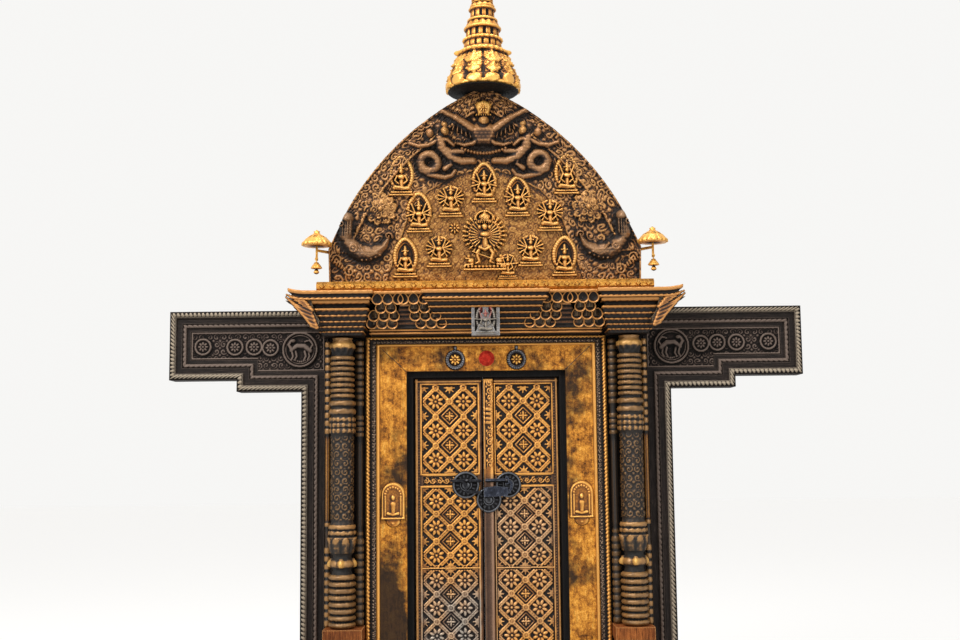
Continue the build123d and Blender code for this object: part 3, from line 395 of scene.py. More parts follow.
class Finish(Tree):
    """A material's tree, round one Principled shader."""

    def __init__(self, name, metallic=0.0):
        self.material = bpy.data.materials.new(name)
        self.material.use_nodes = True
        super().__init__(self.material.node_tree)
        out = self.node("OutputMaterial")
        self.shader = self.node("BsdfPrincipled", {"Metallic": metallic})
        if metallic == 0.0:
            self.shader.inputs["Specular IOR Level"].default_value = 0.18
        self.wire(self.shader.outputs[0], out.inputs[0])
        self.place = self.node("TexCoord").outputs["Object"]

    def set(self, **values):
        for key, value in values.items():
            self.wire(value, self.shader.inputs[key.replace("_", " ")])

    def noise(self, scale, detail=5.0, rough=0.6, stretch=(1, 1, 1), shift=0.0):
        spread = self.node("Mapping", {"Scale": stretch, "Vector": self.place,
                                       "Location": (shift, shift * 0.7, shift * 1.3)})
        return self.node("TexNoise", {"Scale": scale, "Detail": detail, "Roughness": rough,
                                      "Vector": spread.outputs[0]}).outputs["Fac"]

    def value(self, name):
        """A value that the mesh holds for each point."""
        return self.node("Attribute", attribute_name=name).outputs["Fac"]

    def ramp(self, fac, stops):
        node = self.node("ValToRGB", {0: fac})
        marks = node.color_ramp.elements
        while len(marks) < len(stops):
            marks.new(0.5)
        for mark, (at, _) in zip(marks, stops):
            mark.position = at
        for mark, (at, colour) in zip(marks, stops):
            mark.position = at
            mark.color = (colour,) * 3 + (1,) if isinstance(colour, float) else (*colour, 1)
        return node.outputs[0]

    def mix(self, fac, a, b):
        return self.node("Mix", {0: fac, 6: a, 7: b}, data_type="RGBA").outputs[2]

    def axis(self, name):
        return self.node("SeparateXYZ", {0: self.place}).outputs[name]

    def edges(self, radius):
        """About 0 on flat faces and 1 along edges."""
        bevel = self.node("Bevel", {"Radius": radius}, samples=4)
        plain = self.node("NewGeometry")
        dot = self.node("VectorMath", {0: bevel.outputs[0], 1: plain.outputs["Normal"]},
                        operation="DOT_PRODUCT")
        turned = self.sum("SUBTRACT", 1.0, dot.outputs["Value"], clamp=True)
        return self.sum("MULTIPLY", turned, 4.0, clamp=True)

    def bump(self, height, strength, distance, after=None):
        node = self.node("Bump", {"Strength": strength, "Distance": distance, "Height": height})
        if after is not None:
            self.wire(after, node.inputs["Normal"])
        self.wire(node.outputs[0], self.shader.inputs["Normal"])
        return node.outputs[0]


DIRT = (0.02, 0.014, 0.01)
SHADE_MARKS = (0.2, 0.42, 0.56, 0.8)     # Places of recess, low, face and crest on the ridge value


def carved_finish(name, recess, low, face, crest, metallic, roughness, dirt_share=0.5,
                  tinted=None, cold=None):
    """Colour that follows the carving: painted shade in the recesses and painted highlight on the
    crests, with patches of dirt.

    tinted takes over where the point value "tint" nears 1, and cold where it nears -1.
    """
    f = Finish(name, metallic)
    wave = f.noise(9, detail=8, rough=0.68)
    fine = f.noise(140, detail=6, rough=0.7, shift=3)
    level = f.sum("ADD", f.value("ridge"), f.sum("MULTIPLY", f.sum("SUBTRACT", fine, 0.5), 0.45))

    def shades(four):
        return f.ramp(level, list(zip(SHADE_MARKS, four)))

    colour = shades((recess, low, face, crest))
    if tinted:
        other = shades(tinted)
        colour = f.mix(f.value("tint"), colour, other)
    if cold:
        other = shades(cold)
        share = f.sum("MULTIPLY", f.value("tint"), -1.0, clamp=True)
        colour = f.mix(share, colour, other)
    patches = f.ramp(wave, [(0.42, 0.0), (0.62, dirt_share)])
    colour = f.mix(patches, colour, f.mix(level, DIRT, colour))
    f.set(Base_Color=colour)
    f.set(Roughness=f.ramp(level, [(0.3, roughness + 0.25), (0.8, roughness)]))
    f.bump(fine, 0.35, 0.002)
    return f.material


# Sets of four shades of one colour, recess to crest, as each finish below also gives: painted shade
# in the recesses and painted highlight on the crests
GOLD_TINT = ((0.020, 0.008, 0.003), (0.13, 0.046, 0.008), (0.42, 0.17, 0.026), (0.74, 0.40, 0.09))
SILVER_TINT = ((0.006, 0.005, 0.005), (0.022, 0.018, 0.016), (0.085, 0.07, 0.058),
               (0.34, 0.30, 0.25))
BROWN_TINT = ((0.006, 0.004, 0.003), (0.030, 0.015, 0.009), (0.085, 0.042, 0.024),
              (0.26, 0.15, 0.09))
RED_TINT = ((0.08, 0.004, 0.004), (0.34, 0.010, 0.008), (0.58, 0.022, 0.014), (0.68, 0.05, 0.03))
DARK_SET = ((0.003, 0.002, 0.002), (0.008, 0.005, 0.003), (0.018, 0.010, 0.006),
            (0.05, 0.028, 0.012))
COLD_SET = ((0.005, 0.004, 0.003), (0.022, 0.014, 0.010), (0.062, 0.038, 0.025),
            (0.25, 0.135, 0.062))
gilt_carved = carved_finish("gilt_carved", (0.006, 0.004, 0.003), (0.060, 0.024, 0.007),
                            (0.32, 0.115, 0.020), (0.70, 0.33, 0.070), 0.6, 0.40,
                            dirt_share=0.75, tinted=SILVER_TINT, cold=BROWN_TINT)
bronze = carved_finish("bronze_carved", (0.011, 0.006, 0.004), (0.062, 0.027, 0.011),
                       (0.165, 0.070, 0.024), (0.40, 0.19, 0.068), 0.35, 0.46, dirt_share=0.5,
                       tinted=GOLD_TINT, cold=COLD_SET)
bright_gold = carved_finish("gilt_bright", (0.012, 0.005, 0.002), (0.15, 0.050, 0.007),
                            (0.50, 0.185, 0.022), (0.88, 0.46, 0.10), 0.5, 0.38, dirt_share=0.5,
                            cold=DARK_SET)
deity_gold = carved_finish("deity_gold", (0.010, 0.005, 0.002), (0.12, 0.042, 0.009),
                           (0.42, 0.155, 0.022), (0.78, 0.42, 0.115), 0.45, 0.40, dirt_share=0.6,
                           cold=DARK_SET)
column_wood = carved_finish("column_wood", (0.004, 0.003, 0.002), (0.016, 0.011, 0.008),
                            (0.058, 0.032, 0.014), (0.36, 0.185, 0.060), 0.3, 0.42,
                            dirt_share=0.85, tinted=GOLD_TINT, cold=DARK_SET)
carved_wood = carved_finish("carved_wood", (0.003, 0.0025, 0.002), (0.011, 0.008, 0.0075),
                            (0.046, 0.030, 0.023), (0.17, 0.125, 0.10), 0.0, 0.68,
                            dirt_share=0.4)
cream_edge = carved_finish("cream_edge", (0.010, 0.008, 0.007), (0.05, 0.042, 0.034),
                           (0.15, 0.12, 0.09), (0.38, 0.31, 0.225), 0.0, 0.68, dirt_share=0.6)
lipped = carved_finish("lipped_timber", (0.006, 0.004, 0.003), (0.028, 0.012, 0.005),
                       (0.17, 0.060, 0.014), (0.54, 0.24, 0.060), 0.35, 0.44, dirt_share=0.75,
                       cold=DARK_SET)
iron_and_gold = carved_finish("iron_and_gold", (0.004, 0.004, 0.005), (0.012, 0.012, 0.013),
                              (0.03, 0.03, 0.034), (0.15, 0.15, 0.165), 0.8, 0.35,
                              dirt_share=0.2, tinted=GOLD_TINT)
iron_carved = carved_finish("iron_carved", (0.002, 0.002, 0.0025), (0.006, 0.006, 0.007),
                            (0.014, 0.014, 0.016), (0.10, 0.105, 0.115), 0.85, 0.36,
                            dirt_share=0.2)
silver_and_red = carved_finish("silver_and_red", (0.010, 0.009, 0.009), (0.04, 0.035, 0.032),
                               (0.075, 0.064, 0.055), (0.29, 0.25, 0.20), 0.25, 0.5,
                               dirt_share=0.5, tinted=RED_TINT)


UPRIGHT, ACROSS = (6, 6, 0.5), (0.5, 6, 6)      # Stretch of the grain


def plank_finish(name, dark, face, dust, grain=UPRIGHT):
    """Old timber: long grain, cracks, dusty worn edges."""
    roughness = 0.66
    f = Finish(name)
    strands = f.noise(34, detail=9, rough=0.7, stretch=grain)
    patch = f.noise(5, detail=6, rough=0.65, shift=5)
    fine = f.noise(190, detail=4, rough=0.7, shift=2)
    colour = f.ramp(f.sum("ADD", strands, f.sum("MULTIPLY", f.sum("SUBTRACT", fine, 0.5), 0.3)),
                    [(0.34, dark), (0.6, face), (0.8, dust)])
    colour = f.mix(f.ramp(patch, [(0.4, 0.0), (0.66, 0.6)]), colour, dark)
    worn = f.sum("MULTIPLY", f.edges(0.007), f.ramp(fine, [(0.35, 0.35), (0.6, 1.0)]))
    f.set(Base_Color=f.mix(worn, colour, dust))
    f.set(Roughness=f.ramp(strands, [(0.3, roughness + 0.15), (0.7, roughness - 0.1)]))
    f.bump(strands, 0.5, 0.004)
    return f.material


OLD_TIMBER = ((0.004, 0.003, 0.0025), (0.024, 0.0155, 0.012), (0.12, 0.088, 0.070))
timber = plank_finish("old_timber", *OLD_TIMBER)
timber_across = plank_finish("old_timber_across", *OLD_TIMBER, grain=ACROSS)
# Near-black timber that stands for shade: painted shade on the reveal, in the meeting gap, under
# the finial and behind the brackets
painted_shade_wood = plank_finish("reveal_painted_shade", (0.001, 0.001, 0.001), (0.004, 0.003, 0.003),
                      (0.025, 0.02, 0.016))
red_base = plank_finish("red_base", (0.06, 0.014, 0.005), (0.46, 0.14, 0.03), (0.8, 0.4, 0.14))
sill_wood = plank_finish("sill_wood", (0.03, 0.022, 0.017), (0.11, 0.085, 0.065),
                         (0.32, 0.27, 0.21), grain=ACROSS)


def gilt_sheet_finish():
    """Worn gilt sheet: orange gold with brown rubbing, black blotches and small dents."""
    f = Finish("gilt_sheet", 0.8)
    big = f.noise(3.2, detail=9, rough=0.66)
    mid = f.noise(26, detail=9, rough=0.72, shift=4)
    fine = f.noise(240, detail=4, rough=0.75, shift=8)
    runs = f.noise(30, detail=7, rough=0.7, stretch=(3, 3, 0.35), shift=1)
    level = f.sum("ADD", f.sum("MULTIPLY", mid, 0.55), f.sum("MULTIPLY", fine, 0.3))
    level = f.sum("ADD", level, f.sum("MULTIPLY", runs, 0.25))
    gold = f.ramp(level, [(0.44, (0.035, 0.013, 0.005)), (0.52, (0.30, 0.105, 0.015)),
                          (0.60, (0.66, 0.28, 0.035)), (0.72, (0.98, 0.60, 0.15))])
    # The lower left jamb is almost black in the photograph
    low = f.ramp(f.axis("Z"), [(0.55, 1.0), (1.12, 0.0)])
    left = f.ramp(f.sum("MULTIPLY", f.axis("X"), -1.0), [(0.38, 0.0), (0.42, 1.0)])
    worn = f.sum("MULTIPLY", f.sum("MULTIPLY", low, left), 0.3)
    dark = f.ramp(f.sum("ADD", big, worn), [(0.50, 0.0), (0.62, 0.95)])
    edge = f.ramp(f.sum("ADD", runs, f.sum("MULTIPLY", worn, 0.4)), [(0.57, 0.0), (0.7, 0.7)])
    colour = f.mix(dark, gold, (0.022, 0.014, 0.009))
    colour = f.mix(edge, colour, (0.05, 0.025, 0.012))
    f.set(Base_Color=colour)
    f.set(Roughness=f.ramp(level, [(0.4, 0.62), (0.7, 0.33)]))
    first = f.bump(mid, 0.45, 0.006)
    f.bump(fine, 0.3, 0.0015, after=first)
    return f.material


gilt_sheet = gilt_sheet_finish()


def plain_metal(name, dark, face, light, metallic, roughness, edge=1.0):
    """Cast or powdered metal: three mottled shades and rubbed edges."""
    f = Finish(name, metallic)
    mid = f.noise(40, detail=8, rough=0.7)
    fine = f.noise(260, detail=4, rough=0.7, shift=6)
    level = f.sum("ADD", f.sum("MULTIPLY", mid, 0.6), f.sum("MULTIPLY", fine, 0.4))
    colour = f.ramp(level, [(0.38, dark), (0.52, face), (0.7, light)])
    f.set(Base_Color=f.mix(f.sum("MULTIPLY", f.edges(0.003), edge), colour, light))
    f.set(Roughness=f.ramp(level, [(0.4, roughness + 0.2), (0.7, roughness)]))
    f.bump(level, 0.4, 0.002)
    return f.material


iron = plain_metal("iron_black", (0.004, 0.004, 0.005), (0.016, 0.016, 0.019),
                   (0.10, 0.105, 0.12), 0.85, 0.34, edge=0.6)
lock_steel = plain_metal("lock_steel", (0.006, 0.007, 0.010), (0.026, 0.030, 0.045),
                         (0.17, 0.19, 0.24), 0.8, 0.38, edge=0.8)
silvered = plain_metal("silvered_plaque", (0.05, 0.045, 0.045), (0.20, 0.19, 0.185),
                       (0.5, 0.48, 0.45), 0.6, 0.4)
vermilion = plain_metal("vermilion_powder", (0.16, 0.008, 0.006), (0.55, 0.03, 0.015),
                        (0.75, 0.10, 0.05), 0.0, 0.85)
gilt_trim = plain_metal("gilt_trim", (0.10, 0.035, 0.008), (0.55, 0.25, 0.035),
                        (0.95, 0.6, 0.18), 0.8, 0.34)
dark_trim = plain_metal("dark_trim", (0.010, 0.008, 0.006), (0.055, 0.035, 0.02),
                        (0.34, 0.22, 0.10), 0.4, 0.45)



def both(*names):
    return [name + end for name in names for end in ("_left", "_right")]


NODE_FINISH = {
    timber: both("outer_jamb", "column_board", "leaf_board"),
    timber_across: ["outer_lintel"],
    # The door posts and head beam take near-black timber: painted shade in the reveal
    painted_shade_wood: [*both("door_post"), "head_beam"],
    red_base: both("column_pedestal"),
    sill_wood: ["threshold_sill"],
    gilt_sheet: [*both("gilt_jamb"), "gilt_lintel"],
    gilt_trim: ["gilt_moulding", "lintel_rings", "jamb_plaques", "cornice_board",
                "beaded_moulding", "finial_skirt", "finial_spire", "cover_strip",
                "deity_plaques", "central_deity",
                *both("parasol", "pendant", "rosette_panels", "leaf_border")],
    dark_trim: ["middle_block", "stepped_brackets", "lotus_brackets", "corner_leaves",
                "torana_board", "torana_rim", "bird_man", "serpents", "flower_bosses",
                *both("capital", "main_column", "slim_shafts", "wing_panel", "makara")],
    iron: ["lock_plate_left", "lock_plates_right", "lock_bolt"],
    lock_steel: ["lock_case"],
    silvered: ["centre_plaque"],
    vermilion: ["lintel_boss"],
}
for finish, names in NODE_FINISH.items():
    for name in names:
        nodes[name].data.materials.clear()
        nodes[name].data.materials.append(finish)


def wave(z0, z1, count, low, high, fine=7):
    """Profile of half-round rings between two heights."""
    points = []
    for i in range(count):
        for k in range(fine + 1):
            share = k / fine
            points.append((z0 + (z1 - z0) * (i + share) / count,
                           low + (high - low) * math.sin(math.pi * share) ** 0.6))
    return points


def scrolls(U, W, pitch):
    """Dense scrollwork, 0 to 1: one spiral a cell, and a bud where four cells meet."""
    i, j = np.floor(U / pitch), np.floor(W / pitch)
    x, y = U / pitch - i - 0.5, W / pitch - j - 0.5
    way = np.where((i + j) % 2 == 0, 1.0, -1.0)
    r, turn = np.hypot(x, y), np.arctan2(y, x)
    arm = 0.5 + 0.5 * np.cos(way * turn - FULL * r * 2.9 + (2 * i + j) * 1.7)
    inside = np.clip((0.5 - r) / 0.1, 0, 1)
    bud = np.clip(1 - 4.4 * np.hypot(np.abs(x) - 0.5, np.abs(y) - 0.5), 0, 1) ** 0.5
    return np.maximum(arm * inside, bud)


def petals(A, Z, z0, z1, count, deep, shift=0.0, down=False):
    """A ring of pointed leaves between two heights, as an addition to the radius."""
    s = (Z - z0) / (z1 - z0)
    s = 1 - s if down else s
    across = np.abs(((A / FULL * count + shift) % 1.0) - 0.5) * 2
    inside = (s >= 0) & (s <= 1 - 0.45 * across ** 2)
    body = deep * (0.35 + 0.65 * s) * np.clip(1 - across ** 2, 0, 1) ** 0.5
    rib = 0.25 * deep * np.clip(1 - across * 5, 0, 1)
    return np.where(inside, body + rib, 0.0)


def between(Z, low, high):
    return (Z > low) & (Z < high)


# Door leaves: raised border, beaded strips, three panels of rosettes in crossed straps.
# Distances across are from the door's middle line.
ROWS = ((1310, 1748, (1376, 1521, 1667)), (846, 1236, (904, 1040, 1170)),
        (190, 838, (247, 380, 513, 647, 781)))
SPOTS = (115, 255)
PITCH_U, PITCH_W = 140, 137
PANEL_IN, PANEL_OUT = 46, 324
LEAF_FOOT, LEAF_HEAD = 180, 1783
LEAF_FRONT = 60.0
ROSETTE_R = 50
BEAD_COUNT = 24
STRAP_RIB = 5.2
SCROLL_FOOT, SCROLL_HEAD = 1247, 1297


def leaf_canvas(inner):
    """One leaf's relief, from its free edge at inner to its hinge side."""
    c = Canvas(inner, 362, LEAF_FOOT, LEAF_HEAD, 3.0)
    c.H += 3.0
    # Stiles and rails
    frame_in = np.maximum.reduce([PANEL_IN - c.U, c.U - PANEL_OUT])
    panel_gap = np.full_like(c.U, FAR)
    for z0, z1, _ in ROWS:
        panel_gap = np.minimum(panel_gap, np.maximum(z0 - c.W, c.W - z1))
    off_panel = np.maximum(frame_in, panel_gap)
    border = 3 + 7 * np.clip(off_panel / 3, 0, 1) ** 0.5
    c.H = np.maximum(c.H, border)
    fillet = np.abs(off_panel - 6)
    c.H = np.maximum(c.H, np.where((fillet < 4) & (off_panel > 0), 13.0, 0))
    c.H = np.maximum(c.H, np.where(np.abs(c.U - 352) < 5, 13.5, 0))
    c.H = np.maximum(c.H, np.where(np.abs(c.W - 1768) < 5, 13.0, 0))
    for w in np.arange(196, 1740, 14.0):
        c.dome(340, w, 6, 13)
    for u in np.arange(inner + 14, 330, 14.0):
        c.dome(u, 1757, 5.5, 12)
    # Scrollwork band between the upper panels
    c.H = np.where(between(c.W, 1250, 1294) & between(c.U, 50, 320), 4.0, c.H)
    for i, u in enumerate(np.arange(66, 320, 34.0)):
        c.spiral(u, 1272, 15, 4.0, 12, start=90 * (i % 2), turns=1.3, way=1 if i % 2 else -1,
                 leaves=5)
    for w in (SCROLL_FOOT, SCROLL_HEAD):
        c.tube([(50, w), (320, w)], 3, 12)
    for z0, z1, rows in ROWS:
        levels = [rows[0] - PITCH_W, *rows, rows[-1] + PITCH_W]
        columns = (SPOTS[0] - PITCH_U, *SPOTS, SPOTS[1] + PITCH_U)
        for i, w in enumerate(levels):
            for j, u in enumerate(columns):
                for su, sw in ((1, 1), (1, -1), (-1, 1), (-1, -1)):
                    strap(c, (u + su * PITCH_U / 2, w), (u, w + sw * PITCH_W / 2), z0, z1)
                if i + 1 < len(levels) and j + 1 < len(columns):
                    mid_u, mid_w = u + PITCH_U / 2, (w + levels[i + 1]) / 2
                    if PANEL_IN < mid_u < PANEL_OUT and z0 + 44 < mid_w < z1 - 44:
                        diamond(c, mid_u, mid_w)
                    else:
                        half_flower(c, mid_u, mid_w, z0, z1)
                knot(c, u + PITCH_U / 2, w, z0, z1)
                knot(c, u, w + PITCH_W / 2, z0, z1)
        for w in rows:
            for u in SPOTS:
                c.ring(u, w, ROSETTE_R, 3.2, 8.5, base=3)
                for k in range(BEAD_COUNT):
                    angle = FULL * k / BEAD_COUNT
                    c.dome(*polar(u, w, ROSETTE_R, angle), 3.8, 10.5, base=3)
                c.flower(u, w, 42, 12.5, base=3, fat=0.46, hub=0.2,
                         turn=22.5 if u == SPOTS[1] else 0)
                c.dome(u, w, 9, 15)
    # Straps and flowers shine; stiles and rails are dark brown
    c.T = np.where(off_panel > 11, -0.85, 0.0)
    c.T = np.where(between(c.W, SCROLL_FOOT, SCROLL_HEAD) & between(c.U, 50, 320), -0.15, c.T)
    c.T = np.where((c.H > 12.4) & (off_panel > 11), -0.35, c.T)
    return c


def in_panel(u, w, z0, z1, margin=4):
    return PANEL_IN + margin < u < PANEL_OUT - margin and z0 + margin < w < z1 - margin


def strap(c, start, end, z0, z1):
    """A strap of two ribs between two knots, kept inside its panel."""
    (u0, w0), (u1, w1) = start, end
    long = math.hypot(u1 - u0, w1 - w0)
    nu, nw = (w1 - w0) / long, -(u1 - u0) / long
    for offset in (-STRAP_RIB, STRAP_RIB):
        run = []
        for i in range(13):
            u = u0 + (u1 - u0) * i / 12 + nu * offset
            w = w0 + (w1 - w0) * i / 12 + nw * offset
            if in_panel(u, w, z0, z1):
                run.append((u, w))
        if len(run) > 1:
            c.tube((run[0], run[-1]), 5.4, 10.5, base=3, sharp=0.35)
            for u, w in run[::2]:
                c.dome(u - nu * offset * 0.3, w - nw * offset * 0.3, 4.2, 12.2, base=3)


def diamond(c, u, w):
    """A four-petalled flower in its own small lozenge."""
    corners = [(u + 41, w), (u, w + 41), (u - 41, w), (u, w - 41), (u + 41, w)]
    c.tube(corners, 3.6, 8.5, base=3)
    for k in range(4):
        angle = math.pi / 2 * k
        c.dome(*polar(u, w, 13, angle), 12, 11.5, rw=6, base=3, turn=math.degrees(angle))
        c.dome(*polar(u, w, 17, angle + math.pi / 4), 4.5, 9, base=3)
    c.dome(u, w, 5, 13)


def half_flower(c, u, w, z0, z1):
    """A fan of leaves that grows inwards from the panel's edge."""
    u = min(max(u, PANEL_IN + 4), PANEL_OUT - 4)
    w = min(max(w, z0 + 4), z1 - 4)
    for k in range(16):
        angle = FULL * k / 16
        far = 14 + 12 * (k % 2 == 0)
        if in_panel(*polar(u, w, far, angle), z0, z1, 3):
            c.tube([polar(u, w, 4, angle), polar(u, w, far, angle)], 4.6, 11, r1=3.4, base=3)
    c.dome(u, w, 5, 12)


def knot(c, u, w, z0, z1):
    """A ringed flower where straps cross."""
    if not in_panel(u, w, z0, z1, 2):
        return
    c.dome(u, w, 15, 7, power=0.2, base=3)
    c.ring(u, w, 13, 5, 13, base=3)
    c.flower(u, w, 9, 12, base=6, count=4)


FREE_EDGE = {"left": 23.2, "right": 37.0}
for side, label in SIDES:
    c = leaf_canvas(FREE_EDGE[label])
    H = c.H + 0.5 * soft_noise(c.H.shape, 9, 3 + side)
    silver = np.clip((860 - c.W) / 170, 0, 1) * (0.72 + 0.28 * soft_noise(c.H.shape, 18, 61))
    if side > 0:
        silver = np.clip(0.22 + 0.4 * soft_noise(c.H.shape, 45, 62), 0, 0.6) * (c.W < 1240)
    edge = np.ones_like(H)
    edge[0] = edge[-1] = 0
    edge[:, 0] = edge[:, -1] = 0
    points = np.stack((side * c.U, LEAF_FRONT - H * edge, c.W), axis=-1)
    grid_piece("leaf_relief_" + label, points,
               {"ridge": ridge_of(H, 5, 9), "tint": np.where(c.T < 0, c.T, silver)},
               "leaf_" + label, gilt_carved,
               ("rosette_panels_" + label, "leaf_border_" + label))


# Bead on the left leaf's free edge, which closes the meeting gap; its near-black is painted shade
# in the gap
W, Q = rings(np.linspace(LEAF_FOOT + 1, LEAF_HEAD + 11, 60), 12)
bead_x = np.where(np.cos(Q) > 0, -23 + 5.8 * np.cos(Q), -23 + 0.5 * np.cos(Q))
grid_piece("meeting_bead", np.stack((bead_x, 80 + 4 * np.sin(Q), W), axis=-1),
           {"ridge": np.full_like(W, 0.3)}, "leaf_left", painted_shade_wood, closed=True)

# Tympanum: one carved sheet over its leaning front face
LEAN = math.radians(12)
TYMPANUM_Y, TYMPANUM_Z = -150, 2243      # Foot of its front face
OUTLINE = ((768, 0), (768, 170), (665, 371), (611, 454), (551, 534), (486, 609), (416, 679),
           (341, 744), (261, 803), (178, 857), (90, 905), (4, 943))


def on_tympanum(u, w, h):
    """Points h in front of the leaning face, at u across and w up it."""
    return np.stack((u, TYMPANUM_Y - w * math.sin(LEAN) - h * math.cos(LEAN),
                     TYMPANUM_Z + w * math.cos(LEAN) - h * math.sin(LEAN)), axis=-1)


def half_width(w):
    return np.interp(w, [p[1] for p in OUTLINE[1:]], [p[0] for p in OUTLINE[1:]])


def edge_distance(U, W):
    return np.minimum.reduce([to_segment(np.abs(U), W, start, end)[1]
                              for start, end in zip(OUTLINE, OUTLINE[1:])])


def head(c, u, w, r, top, face=True):
    """A calm, general face: brow, nose, lips and closed lids on a round head."""
    c.dome(u, w, r, top, rw=r * 1.18)
    if face:
        c.tube([(u, w + 0.25 * r), (u, w - 0.18 * r)], 0.15 * r, top + 3.2)
        for s in (-1, 1):
            c.tube([(u + s * 0.2 * r, w + 0.34 * r), (u + s * 0.62 * r, w + 0.3 * r)], 0.12 * r,
                   top + 1.0)
            c.dome(u + s * 0.38 * r, w + 0.08 * r, 0.2 * r, top + 0.4, rw=0.11 * r)
        c.tube([(u - 0.26 * r, w - 0.5 * r), (u + 0.26 * r, w - 0.5 * r)], 0.12 * r, top + 0.6)


RIM_WIDE, RIM_FOOT = 90, 150
BOSS_U, BOSS_W = 507, 366
t = Canvas(-768, 768, 0, 943, 4.0, half=half_width)
depth = edge_distance(t.U, t.W)
t.H += 1.5 + 1.6 * soft_noise(t.H.shape, 7, 21) + 1.2 * soft_noise(t.H.shape, 3, 22)
rim = (depth < RIM_WIDE + 2) & (t.W > RIM_FOOT)
t.H = np.where(rim, 13 + 1.5 * soft_noise(t.H.shape, 4, 23), t.H)
t.H = np.where(depth < 9, 20.0, t.H)
t.H = np.where((np.abs(depth - RIM_WIDE) < 5) & (t.W > RIM_FOOT), 19.0, t.H)
